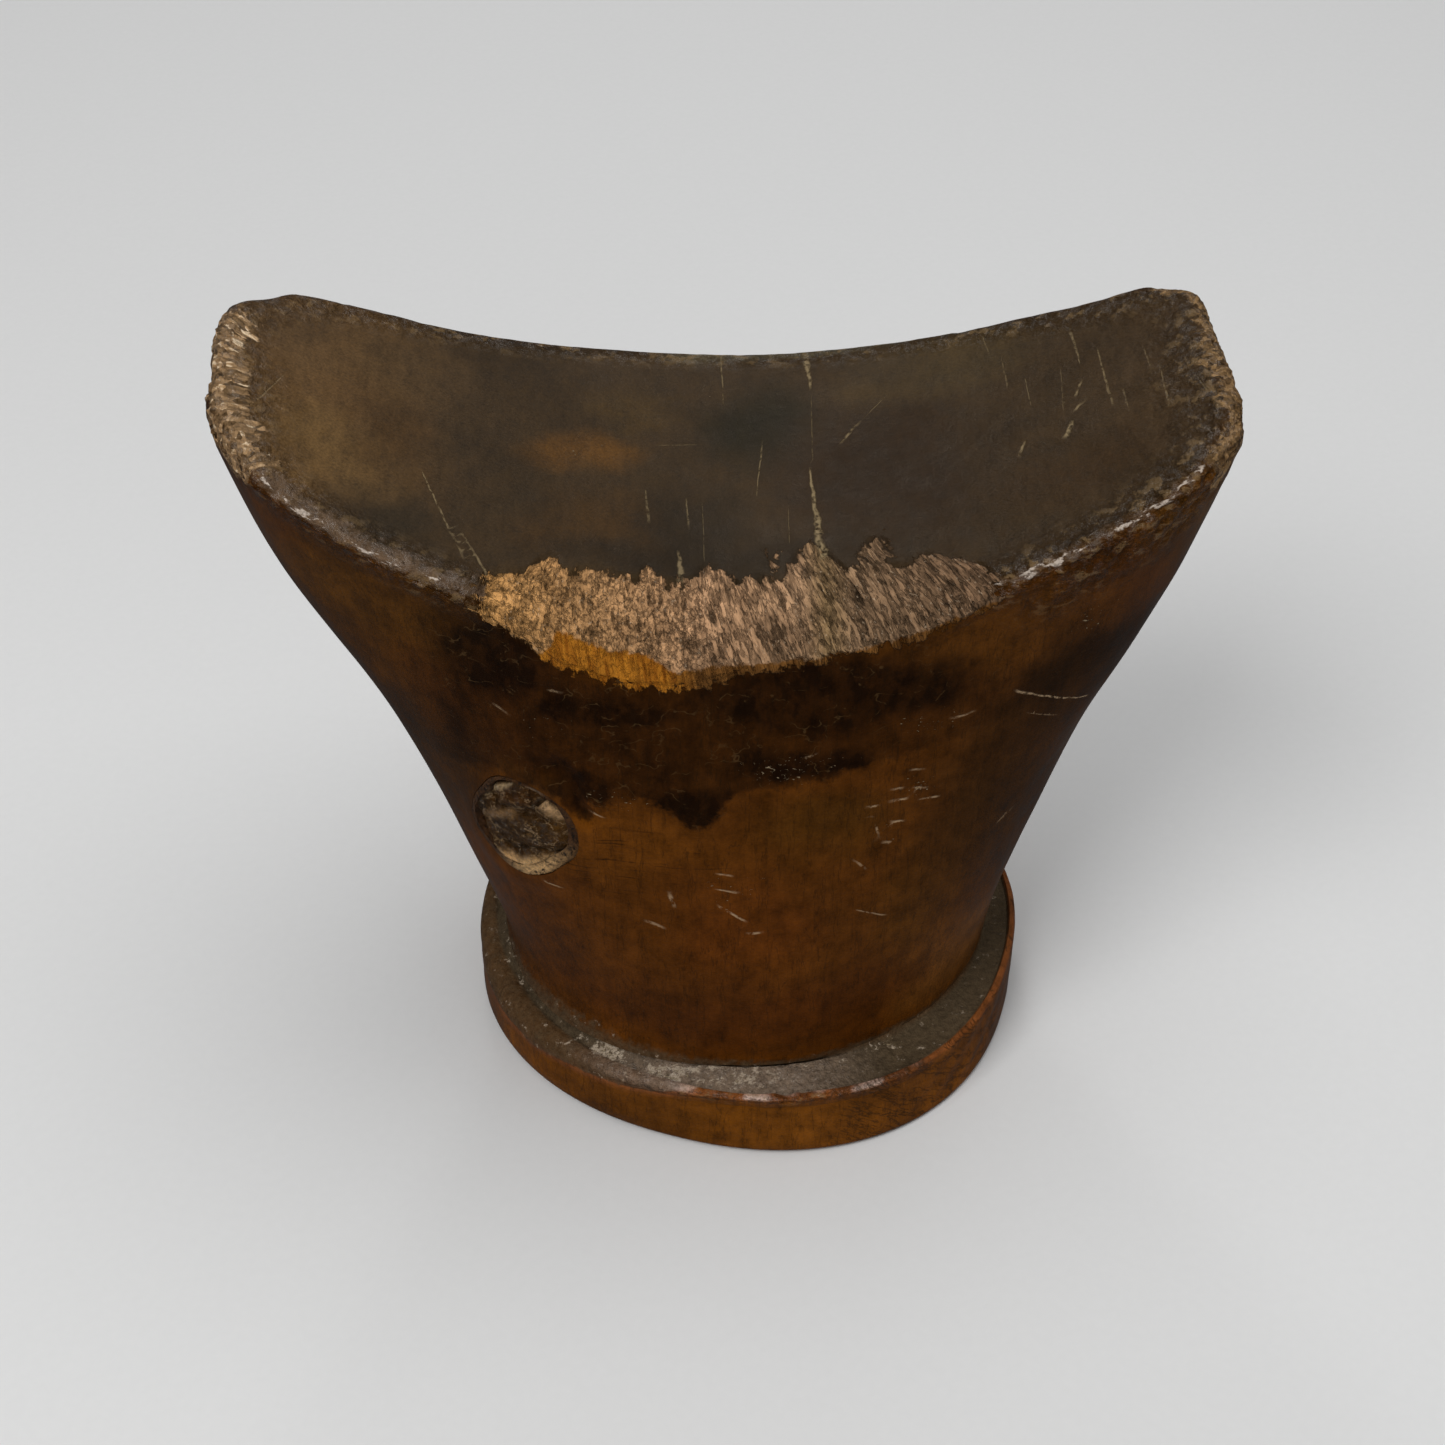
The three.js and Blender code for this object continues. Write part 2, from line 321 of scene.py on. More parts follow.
def column_angles():
    """Angles of the columns, which stand closest together along the worn part of the front lip."""
    fine = np.linspace(0, 2 * math.pi, 40001)
    x, y = flank(fine, np.full_like(fine, TOP))
    step = np.hypot(np.diff(x), np.diff(y))
    in_front = np.sin(fine[1:]) < 0
    lip = in_front * smooth(62, 50, np.abs(x[1:]))
    end = smooth(72, 84, np.abs(x[1:]))
    spacing = np.where(in_front, FRONT_SPACING, BACK_SPACING)
    spacing = spacing + (END_SPACING - spacing) * end
    spacing = spacing + (LIP_SPACING - spacing) * lip
    travelled = np.concatenate([[0], np.cumsum(step / spacing)])
    count = int(travelled[-1])
    return np.interp(np.arange(count) * travelled[-1] / count, travelled, fine)


def rim_wear(crest):
    """How far the rim's wear reaches down the flank and into the dish, at each crest point."""
    x, y = crest[:, 0], crest[:, 1]
    places, down, inward = np.array(LIP_WEAR, float).T
    front = smooth(-10, -30, y)
    end = smooth(0.86, 0.95, np.abs(x) / HALF_WIDTH)
    base = RIM_WEAR + END_WEAR * end
    lip_down, lip_inward = np.interp(x, places, down), np.interp(x, places, inward)
    return base + front * lip_down, base + front * lip_inward, end, front * smooth(0, 5, lip_inward)


def quarter_turn(count):
    return np.linspace(0, math.pi / 2, count)


def lower_rings(angles):
    """Rings from the middle of the underside out to the foot's edge, up it and in along the ledge."""
    for share in np.linspace(0.05, 0.97, RING_COUNTS["under"]):
        x, y = foot_oval(angles, FOOT_EDGE)
        yield "under", ring(FOOT_X + (x - FOOT_X) * share, y * share, 0.0)
    for turn in quarter_turn(4):
        outline = foot_oval(angles, FOOT_EDGE * (1 - math.sin(turn)))
        yield "foot", ring(*outline, FOOT_EDGE * (1 - math.cos(turn)))
    top, rounding = foot_top(angles)
    for share in np.linspace(0, 1, RING_COUNTS["foot"])[1:-1]:
        yield "foot", ring(*foot_oval(angles, 0), FOOT_EDGE + (top - rounding - FOOT_EDGE) * share)
    for turn in quarter_turn(7):
        outline = foot_oval(angles, rounding * (1 - math.cos(turn)))
        outer = ring(*outline, top - rounding * (1 - math.sin(turn)))
        yield "foot", outer
    inner = ring(*flank(angles, np.full_like(angles, FOOT_HEIGHT)), FOOT_HEIGHT)
    for share in np.linspace(0, 1, RING_COUNTS["ledge"] + 2)[1:-1]:
        yield "ledge", outer + (inner - outer) * share


def upper_rings(angles, crest):
    """Rings from the ledge up the flank, over the rim and in to the middle of the dish."""
    down, inward, end, lip = rim_wear(crest)
    for share in np.linspace(0, 1, RING_COUNTS["flank"]):
        z = FOOT_HEIGHT + (crest[:, 2] - down - FOOT_HEIGHT) * share
        start = ring(*flank(angles, z), z)
        yield "flank", start

    # The last ring is a flat loop along the dish's middle line.
    middle = np.full((len(angles), 2), -1.0)
    middle[:, 0] = 0.62 * HALF_WIDTH * signed_power(np.cos(angles), 0.8)
    towards = middle - crest[:, :2]
    stop_xy = crest[:, :2] + towards * (inward / length_of(towards))[:, None]
    stop = ring(*stop_xy.T, dish_height(stop_xy[:, 0]))
    flatness = (0.25 + 0.3 * lip + 0.15 * end)[:, None]
    for t in np.linspace(0, 1, RING_COUNTS["rim"] + 2)[1:-1]:
        rounded = start * (1 - t) ** 2 + crest * 2 * t * (1 - t) + stop * t * t
        straight = start * (1 - t) + stop * t
        yield "rim", rounded * (1 - flatness) + straight * flatness
    for share in np.linspace(0, 0.985, RING_COUNTS["dish"]):
        xy = stop_xy + (middle - stop_xy) * share
        yield "dish", ring(*xy.T, dish_height(xy[:, 0]))


def block_rings(angles):
    """The block's rings of points, the part that each one belongs to, and the crest."""
    crest = crest_points(angles)
    parts, rings = zip(*lower_rings(angles), *upper_rings(angles, crest))
    return np.array(rings), np.array(parts), crest


def grid_normals(grid):
    """A normal for each point of the grid, facing out of the wood."""
    sideways = np.roll(grid, -1, axis=1) - np.roll(grid, 1, axis=1)
    upwards = np.gradient(grid, axis=0)
    normal = np.cross(sideways, upwards)
    return normal / np.maximum(length_of(normal), 1e-9)[..., None]


# ---- Where each kind of wear and stain lies ----

NOWHERE = -9  # how far outside of a kind of wear a point lies, if it can't have any


class Places:
    """The grid's points as one long list, with what every later step asks about them."""

    def __init__(self):
        self.angles = column_angles()
        grid, ring_parts, crest = block_rings(self.angles)
        self.shape = rows, columns = grid.shape[:2]
        self.normals = grid_normals(grid).reshape(-1, 3)
        self.points = grid.reshape(-1, 3)
        self.x, self.y, self.z = self.points.T
        self.part = np.repeat(ring_parts, columns)
        self.on_body = np.isin(self.part, ["flank", "rim", "dish"])
        self.on_front = (self.part == "flank") & (self.y < 0)
        self.degrees = np.tile(np.degrees(self.angles), rows)
        self.on_left_front = bump(self.degrees, 222, 55)

        top, rounding = (np.tile(v, rows) for v in foot_top(self.angles))
        self.below_top = top - self.z
        self.worn_wall = smooth(1.15 * FOOT_EDGE, 1.6 * FOOT_EDGE, rounding)
        self.below_grime = self.below_top - self.worn_wall * 0.95 * rounding

        self.crest = np.tile(crest, (rows, 1))
        on_top = (self.part == "dish") | (self.part == "rim")
        self.inward = length_of(self.points[:, :2] - self.crest[:, :2]) * on_top
        self.down = self.crest[:, 2] - self.z
        self.across = self.inward - self.down
        self.below_right_rim = smooth(46, 62, self.x) * smooth(20, 4, self.down) * (self.y < 0)
        self.rim_place = self.place_on_rim()
        down, inward, self.end, _ = (np.tile(v, rows) for v in rim_wear(crest))
        self.raw = self.inside_lip(down, inward)
        self.ends = self.inside_ends(down, inward)

        self.knot_u, self.knot_v = on_knot_face(self.points)
        near = self.on_front & (self.y < -10) & (self.x < 10)
        self.knot_r = np.where(near, np.hypot(self.knot_u, self.knot_v), 99)

    def place_on_rim(self):
        """Places along the rim and across it, aslant where the lip's ridges are."""
        crest_x, crest_y = self.crest[:, 0], self.crest[:, 1]
        aslant = 0.22 * np.clip(self.across, -20, 20) * smooth(-20, 10, crest_x) * (crest_y < 0)
        return np.stack([crest_x + aslant, crest_y, self.across], axis=1)

    def inside_lip(self, down, inward):
        """How far each point lies inside the raw wood of the lip."""
        crest_x = self.crest[:, 0]
        tongue = np.zeros_like(crest_x)
        for place, half_width, reach in TONGUES:
            tongue = np.maximum(tongue, reach * bump(crest_x, place, half_width) ** 0.4)
        wobble = noise(self.crest, 5, 11)
        upper = inward + tongue + 0.8 * wobble - self.inward
        lower = down + 1 + 0.8 * noise(self.crest, 6, 12) - self.down
        sides = np.minimum(crest_x + 47, 48 - crest_x)
        raw = np.minimum(np.minimum(upper, lower), sides)
        for x, y, half_x, half_y in RAW_SPOTS:
            from_spot = np.hypot((self.x - x) / half_x, (self.y - y) / half_y)
            raw = np.maximum(raw, half_x * (1 - from_spot) + 0.4 * wobble)
        return np.where((self.crest[:, 1] < 0) & self.on_body, raw, NOWHERE)

    def inside_ends(self, down, inward):
        """How far each point lies inside the chipped wood at the dish's two ends."""
        crest_x, crest_y = self.crest[:, 0], self.crest[:, 1]
        on_right = smooth(-20, 20, crest_x)
        upper = inward + 2.5 - 4.2 * on_right + 2.2 * noise(self.crest, 5, 11) - self.inward
        lower = down + 0.8 + 3.7 * on_right + 2.4 * noise(self.crest, 7, 13) - self.down
        sides = 26 * (self.end - 0.35)
        sides = np.minimum(sides, np.where(crest_x < 0, 24 - crest_y, 99))
        return np.where(self.on_body, np.minimum(np.minimum(upper, lower), sides), NOWHERE)


def knot_axes():
    """The knot's axis out of the block, and the directions to the right and up on its face."""
    axis = (KNOT_FACE - KNOT_PITH) / length_of(KNOT_FACE - KNOT_PITH)
    right = np.cross([0, 0, 1], axis)
    right /= length_of(right)
    return axis, right, np.cross(axis, right)


def on_knot_face(points):
    """Places on the knot's face, to its right and upwards, with its oval made round."""
    axis, right, upright = knot_axes()
    u, v = (points - KNOT_FACE) @ right, (points - KNOT_FACE) @ upright
    c, s = math.cos(KNOT_LEAN), math.sin(KNOT_LEAN)
    along, across = (u * c + v * s) / (1 + KNOT_OVAL), (v * c - u * s) / (1 - KNOT_OVAL)
    return along * c - across * s, along * s + across * c


def near_line(u, v, start, stop, half_width):
    """1 on a line between two places, down to 0 at half_width from it."""
    start, stop = np.array(start, float), np.array(stop, float)
    along = stop - start
    share = ((u - start[0]) * along[0] + (v - start[1]) * along[1]) / (along @ along)
    share = np.clip(share, 0, 1)
    distance = np.hypot(u - start[0] - share * along[0], v - start[1] - share * along[1])
    return smooth(1, 0, distance / half_width)


# Small dents: a place, a radius and a depth.
DENTS = [
    ((10.9, -55.9, 18.1), 2.6, 1.1),
    ((14.5, -56.0, 18.6), 1.6, 0.5),
    ((-39.0, -39.5, 138.0), 2.4, 0.9),
    ((-34.0, -42.4, 122.8), 2.0, 0.6),
    ((48.5, -41.3, 3.7), 2.2, 0.6),
    ((-55.5, -39.5, 148.0), 1.6, 0.5),
    ((-46.0, 40.0, 146.0), 2.4, 0.8),
    ((-41.0, 41.0, 144.5), 2.0, 0.7),
    ((-35.5, 41.0, 143.5), 2.6, 0.9),
    ((-30.5, 41.5, 142.5), 2.2, 0.8),
    ((-24.0, 41.0, 141.0), 1.8, 0.6),
    ((18.0, 40.0, 140.5), 2.4, 0.8),
]


def hand_carved(at):
    """The carver's hand: slow waves and strokes, a rough ledge, and a dish rubbed smooth."""
    points, part = at.points, at.part
    on_flank, on_foot = part == "flank", part == "foot"
    height = 0.75 * noise(points, 38, 21) + 0.28 * noise(points, (15, 15, 26), 22)
    height += 0.16 * noise(points, (7, 7, 34), 23) * (on_flank | on_foot)

    from_middle = np.hypot((at.x - FOOT_X) / FOOT_HALF_WIDTH, at.y / FOOT_HALF_DEPTH)
    ledge = 0.5 * noise(points, 9, 24) + 0.4 * layered_noise(points, 2.6, 28, 3)
    ledge -= 0.35 + 0.6 * smooth(0.85, 1.0, from_middle)
    torn_line = bump(from_middle + 0.02 * noise(points, 5, 29), 0.955, 0.022)
    height += (ledge + 0.9 * torn_line * at.on_left_front) * (part == "ledge")

    # On the left the body runs into the ledge in a hollow curve.
    height += on_flank * at.on_left_front * 2.2 * smooth(FOOT_HEIGHT + 7, FOOT_HEIGHT, at.z) ** 2
    height += on_foot * 0.22 * noise(points @ tilt(35), (2.6, 40, 40), 25)
    dishness = np.where(part == "rim", smooth(-3, 6, at.across), part == "dish")
    return height * (1 - 0.55 * dishness) + 0.07 * noise(points, 3.2, 26) * (part == "dish")


def lip_fibres(at):
    """Torn fibres along the lip, in ridges on its right half and in tufts on its left."""
    ridges = 1 - 2 * np.abs(noise(at.rim_place, (1.5, 1.5, 11), 31))
    tufts = layered_noise(at.rim_place, (2.2, 2.2, 3.6), 32, 2)
    clumps = noise(at.rim_place, (4.2, 4.2, 7), 33)
    rightwards = smooth(-20, 12, at.x)
    return 0.4 * ridges * rightwards + 0.75 * tufts * (1 - 0.5 * rightwards) + 0.45 * clumps


def worn_rim(at, torn):
    """The dish's chipped ends, the crumpled flank below its right end, and the knocked crest."""
    points, part = at.points, at.part
    chips = facets(at.rim_place @ tilt(28), (2.3, 2.3, 1.9), 34)
    pits = layered_noise(points, 3.4, 35, 3)
    chipped = smooth(-1.5, 1.5, at.ends) * (1 - 0.45 * smooth(-30, 30, at.x))
    height = chipped * (0.55 * chips + 0.35 * pits - 0.3)

    folds = 1 - 2 * np.abs(layered_noise(points, (7, 7, 3.2), 39, 3))
    crumpled = at.below_right_rim * (part != "dish")
    height += crumpled * (1.05 * folds + 0.45 * facets(points, 3.0, 44) - 0.7)

    knocks = smooth(0.25, 0.75, noise(points, (2.6, 2.6, 2.6), 36))
    height -= 0.35 * knocks * (part == "rim") * (1 - torn)
    on_crest = smooth(6, 2, np.abs(at.across - 0.5)) * at.on_body * (1 - torn)
    crest_folds = layered_noise(at.rim_place, (2.6, 2.6, 1.7), 30, 3)
    return height + on_crest * crest_folds * (0.12 + 0.3 * (at.y < 0))


def carving(at):
    """How far each point stands proud of, or below, the plain surface: the carver's hand and wear.

    It also gives the gully beside the knot and the height of the lip's fibres.
    """
    points = at.points
    torn = smooth(-0.6, 0.9, at.raw)
    fibre_height = lip_fibres(at)
    height = hand_carved(at) + torn * (fibre_height - 0.6) + worn_rim(at, torn)

    # The trunk swelled round the knot and left a gully beside it.
    u = at.knot_u + 1.2 * layered_noise(points, 5, 38, 2)
    gully = near_line(u, at.knot_v, (4.5, 18.5), (11.5, 8), 3.4) * (at.knot_r < 40)
    height += 0.7 * bump(at.knot_r, 13.5, 5.5) - 1.2 * gully

    for centre, radius, depth in DENTS:
        distance = length_of(points - np.array(centre)) + 0.3 * noise(points, 1.5, 37)
        height -= depth * smooth(1, 0, distance / radius)

    # Nothing goes below the ground, and the underside is only a little hollow.
    hollow = -0.25 * (1 + noise(points, (14, 14, 14), 27)) * (at.part == "under")
    return height * smooth(0.5, 4, at.z) + hollow, gully, fibre_height


def tilt(degrees):
    """A turn about Y, for noise that runs aslant."""
    c, s = math.cos(math.radians(degrees)), math.sin(math.radians(degrees))
    return np.array([[c, 0, s], [0, 1, 0], [-s, 0, c]])


# ---- Meshes ----


def seam_faces(first, angles, x):
    """Triangles that close the dish, between its last ring's back half and its front half."""
    back = [i for i, angle in enumerate(angles) if angle <= math.pi]
    front = [i for i, angle in enumerate(angles) if angle > math.pi][::-1]
    faces, i, j = [], 0, 0
    while i < len(back) - 1 or j < len(front) - 1:
        front_done = j == len(front) - 1
        if front_done or (i < len(back) - 1 and x[back[i + 1]] > x[front[j + 1]]):
            faces.append([first + back[i], first + back[i + 1], first + front[j]])
            i += 1
        else:
            faces.append([first + back[i], first + front[j + 1], first + front[j]])
            j += 1
    return faces


def grid_faces(rows, columns):
    """Quads between the rings, closed round, with one many-sided face at each end."""
    row, column = np.meshgrid(np.arange(rows - 1), np.arange(columns), indexing="ij")
    beside = (column + 1) % columns
    quads = [row * columns + column, row * columns + beside]
    quads += [(row + 1) * columns + beside, (row + 1) * columns + column]
    faces = np.stack(quads, axis=-1).reshape(-1, 4).tolist()
    faces.append(list(range(columns))[::-1])
    faces.append([(rows - 1) * columns + i for i in range(columns)])
    return faces


def new_piece(name, points, faces):
    mesh = bpy.data.meshes.new(name)
    mesh.from_pydata((points * MM).tolist(), [], faces)
    mesh.validate()
    piece = bpy.data.objects.new(name, mesh)
    bpy.context.scene.collection.objects.link(piece)
    return piece


def shade(piece, sharp_above):
    piece.data.shade_smooth()
    piece.data.set_sharp_from_angle(angle=math.radians(sharp_above))


def set_attributes(piece, colours, vectors=()):
    """Stores colours and vectors for each vertex, for the piece's material to read by name."""
    with_alpha = {name: np.insert(values, 3, 1, axis=1) for name, values in colours.items()}
    kinds = (("FLOAT_VECTOR", "vector", vectors), ("FLOAT_COLOR", "color", with_alpha))
    for kind, field, named in kinds:
        for name, values in dict(named).items():
            attribute = piece.data.attributes.new(name, kind, "POINT")
            attribute.data.foreach_set(field, np.asarray(values, np.float32).ravel())


def apply_modifiers(piece):
    evaluated = piece.evaluated_get(bpy.context.evaluated_depsgraph_get())
    mesh = bpy.data.meshes.new_from_object(evaluated)
    piece.modifiers.clear()
    piece.data = mesh


# ---- The knot and its bark ----

BRANCH_COLUMNS = 160
BRANCH_LENGTH = length_of(KNOT_FACE - KNOT_PITH)
BRANCH_TURNS = np.linspace(0, 2 * math.pi, BRANCH_COLUMNS, endpoint=False)
UP_THE_SIDE = [0.0, 0.4, 0.7, 0.85, 0.93, 0.97, 0.99]


def branch_ring(share, extra, deep, lift=0.0):
    """A ring of the branch: a share of its radius, widened by extra, this deep from its pith."""
    axis, right, upright = knot_axes()
    slope = (KNOT_RADIUS - KNOT_PITH_RADIUS) / BRANCH_LENGTH
    uneven = 1 + KNOT_OVAL * np.cos(2 * (BRANCH_TURNS - KNOT_LEAN))
    uneven += 0.025 * np.cos(3 * BRANCH_TURNS + 0.6) + 0.012 * np.cos(7 * BRANCH_TURNS)
    radius = share * ((KNOT_PITH_RADIUS + slope * deep) * uneven + extra)
    across = np.outer(np.cos(BRANCH_TURNS), right) + np.outer(np.sin(BRANCH_TURNS), upright)
    middle = KNOT_PITH + np.outer(deep * np.ones(BRANCH_COLUMNS), axis)
    return middle + radius[:, None] * across + np.outer(lift * deep / BRANCH_LENGTH, upright)


def face_depth(share, extra, lift=0.0):
    """How far along the branch each point of such a ring comes out of the flank."""
    low, high = np.full(BRANCH_COLUMNS, 20.0), np.full(BRANCH_COLUMNS, 95.0)
    for _ in range(30):
        middle = (low + high) / 2
        out = outside_flank(branch_ring(share, extra, middle, lift)) > 0
        high = np.where(out, middle, high)
        low = np.where(out, low, middle)
    return low


# The healed lobes of the knot's face: a place, half sizes and a height.
KNOT_LOBES = [
    (-1.8, 9.3, 5.6, 3.9, 2.9),
    (-10.0, 4.2, 3.4, 4.2, 2.2),
    (6.2, 8.4, 3.2, 3.6, 2.8),
    (3.6, 1.0, 8.6, 4.6, 3.0),
    (-4.6, 3.2, 4.6, 2.4, 2.2),
    (-4.0, -8.0, 6.0, 3.2, 1.7),
    (5.5, -7.2, 7.4, 4.0, 2.2),
]


def knot_height(points):
    """The healed folds of the knot's face."""
    u, v = on_knot_face(points)
    r = np.hypot(u, v)
    u = u + 0.8 * layered_noise(points, 3.4, 54, 2)
    v = v + 0.8 * layered_noise(points, 3.4, 55, 2)
    height = np.full(len(u), -0.1)
    for middle_u, middle_v, half_u, half_v, most in KNOT_LOBES:
        share = ((u - middle_u) / half_u) ** 2 + ((v - middle_v) / half_v) ** 2
        height = np.maximum(height, 0.64 * most * np.sqrt(np.maximum(1 - share, 0)) - 0.1)
    height += 0.5 * layered_noise(points, (2.2, 2.2, 2.2), 51, 3)
    height -= 1.7 * near_line(u, v, (4.4, 12.4), (3.3, 8.4), 0.8)
    return 0.9 + height - 1.3 * smooth(KNOT_RADIUS * 0.82, KNOT_RADIUS * 1.02, r)


def branch_rings():
    """The knot's rings, up its side and over its face, and the bark's, up, over and down."""
    axis = knot_axes()[0]
    knot, bark = [], []
    edge, inner = face_depth(1, 0, KNOT_LIFT), face_depth(1, GAP, KNOT_LIFT)
    outer = face_depth(1, GAP + BARK)
    for share in UP_THE_SIDE:
        knot.append(branch_ring(1, 0, 0.4 + (edge - 0.4) * share, KNOT_LIFT))
        bark.append(branch_ring(1, GAP + BARK, 2 + (outer - 2) * share))
    for share in np.linspace(1, 0.02, 48):
        face = branch_ring(share, 0, face_depth(share, 0, KNOT_LIFT), KNOT_LIFT)
        knot.append(face + np.outer(knot_height(face), axis))
    for share in np.linspace(0, 1, 18):
        extra, lift = GAP + BARK * (1 - share), KNOT_LIFT * share
        face = branch_ring(1, extra, face_depth(1, extra, lift), lift)
        crown = 0.75 + 0.55 * share**0.7
        rough = 0.55 * layered_noise(face, 2.0, 52, 3) + 0.35 * noise(face, 7, 53)
        bark.append(face + np.outer(crown + rough * (0.25 + 0.6 * share), axis))
    for share in UP_THE_SIDE[::-1]:
        bark.append(branch_ring(1, GAP, 2 + (inner - 2) * share, KNOT_LIFT))
    return np.array(knot), np.array(bark)


def socket_cutter():
    """A closed cone as wide as the bark and its gap, from the pith out past the flank."""
    rings = [branch_ring(1, BARK + 2 * GAP, deep) for deep in np.linspace(0, BRANCH_LENGTH + 20, 24)]
    rings = np.array(rings)
    return new_piece("socket_cutter", rings.reshape(-1, 3), grid_faces(*rings.shape[:2]))


def ring_faces(rows, columns):
    """Quads between rings that close on themselves, so that the last meets the first."""
    faces = grid_faces(rows, columns)[:-2]
    last = (rows - 1) * columns
    for i in range(columns):
        j = (i + 1) % columns
        faces.append([last + i, last + j, j, i])
    return faces


# ---- Colours ----

# Blotches of colour in the dish: a place and half sizes on X and Y, a colour and a strength.
DISH_BLOTCHES = [
    (-80, 5, 26, 48, (0.106, 0.057, 0.021), 1.0),
    (-74, -12, 13, 10, (0.122, 0.068, 0.023), 0.8),
    (-84, 24, 12, 16, (0.082, 0.047, 0.021), 0.7),
    (-62, -25, 10, 9, (0.022, 0.015, 0.008), 0.9),
    (-64, 2, 10, 14, (0.050, 0.025, 0.008), 0.8),
    (-46, 3, 9, 26, (0.036, 0.021, 0.009), 0.9),
    (-60, 22, 12, 12, (0.056, 0.032, 0.013), 0.7),
    (-26, 5, 11, 8, (0.100, 0.042, 0.007), 0.9),
    (-18, 22, 9, 8, (0.056, 0.031, 0.009), 0.6),
    (-24, -18, 16, 11, (0.038, 0.018, 0.005), 0.8),
    (7, 15, 14, 17, (0.009, 0.008, 0.004), 0.9),
    (-6, -18, 8, 12, (0.012, 0.008, 0.004), 0.7),
    (-2, -27, 32, 8, (0.013, 0.008, 0.004), 0.9),
    (30, -5, 22, 26, (0.014, 0.006, 0.002), 0.8),
    (45, 28, 18, 12, (0.054, 0.034, 0.013), 0.8),
    (86, 6, 14, 34, (0.052, 0.031, 0.015), 0.7),
    (66, -18, 16, 10, (0.034, 0.017, 0.006), 0.7),
]
DISH_COLOUR = (0.033, 0.019, 0.008)

# The same on the front flank, on X and Z. The darker ones near its left and right ends are partly
# painted shade at the flank's edges.
FLANK_BLOTCHES = [
    (-78, 122, 20, 30, (0.058, 0.0189, 0.001), 0.9),
    (-66, 140, 20, 14, (0.085, 0.0297, 0.001), 0.9),
    (-60, 88, 18, 26, (0.042, 0.0144, 0.001), 0.9),
    (-36, 52, 20, 22, (0.085, 0.0234, 0.001), 0.7),
    (-22, 84, 18, 10, (0.112, 0.0324, 0.0008), 0.9),
    (16, 90, 14, 10, (0.062, 0.0215, 0.001), 0.8),
    (2, 62, 16, 15, (0.092, 0.0225, 0.0006), 0.8),
    (6, 34, 44, 14, (0.062, 0.0149, 0.0006), 0.8),
    (38, 62, 10, 20, (0.092, 0.0306, 0.001), 0.6),
    (54, 84, 20, 34, (0.042, 0.014, 0.001), 0.9),
    (66, 116, 18, 16, (0.026, 0.009, 0.001), 0.9),
    (48, 134, 26, 11, (0.105, 0.0324, 0.0008), 0.9),
    (88, 148, 12, 12, (0.130, 0.0486, 0.002), 0.8),
    (52, 34, 16, 16, (0.150, 0.054, 0.008), 0.7),
]
FLANK_COLOUR = (0.082, 0.0229, 0.0006)

# Where the flank is stained dark, on X and Z, with half sizes and an amount.
STAIN_BLOTCHES = [
    (-44, 131, 11, 17, 1.0),
    (-24, 119, 24, 6, 0.95),
    (18, 122, 38, 12, 0.96),
    (12, 106, 20, 8, 1.0),
    (-8, 94, 12, 8, 1.0),
    (-30, 100, 9, 7, 1.0),
    (64, 120, 12, 8, 0.45),
]
# The lower edge of that stain, as places on X and Z.
STAIN_EDGE = [
    (-70, 92),
    (-45, 98),
    (-32, 96),
    (-26, 94),
    (-18, 97),
    (-12, 94),
    (-8.5, 89),
    (-4, 92),
    (0, 97.5),
    (13, 101),
    (24, 103),
    (40, 107),
    (60, 112),
    (90, 120),
]

FOOT_COLOUR = (0.130, 0.039, 0.0008)
# The foot's top edge, redder as a painted highlight.
FOOT_EDGE_HIGHLIGHT = (0.21, 0.065, 0.018)
LEDGE_COLOUR = (0.085, 0.055, 0.030)
UNDER_COLOUR = (0.12, 0.075, 0.04)
# The crest's grey: its wear, with a painted sheen.
CREST_WEAR_AND_SHEEN = (0.135, 0.088, 0.056)
FAR_EDGE_COLOUR = (0.115, 0.095, 0.055)
# A pale painted highlight along the foot's front top edge.
FOOT_FRONT_HIGHLIGHT = (0.62, 0.46, 0.38)
SWIRL_COLOUR = (0.10, 0.034, 0.003)

# The raw wood of the lip, from its left end to its right one: a place on X and a colour.
RAW_COLOURS = [
    (-45, (0.50, 0.255, 0.083)),
    (-25, (0.48, 0.260, 0.112)),
    (-5, (0.42, 0.24, 0.128)),
    (13, (0.285, 0.17, 0.093)),
    (17, (0.195, 0.122, 0.056)),
    (22, (0.225, 0.137, 0.075)),
    (45, (0.165, 0.096, 0.053)),
]

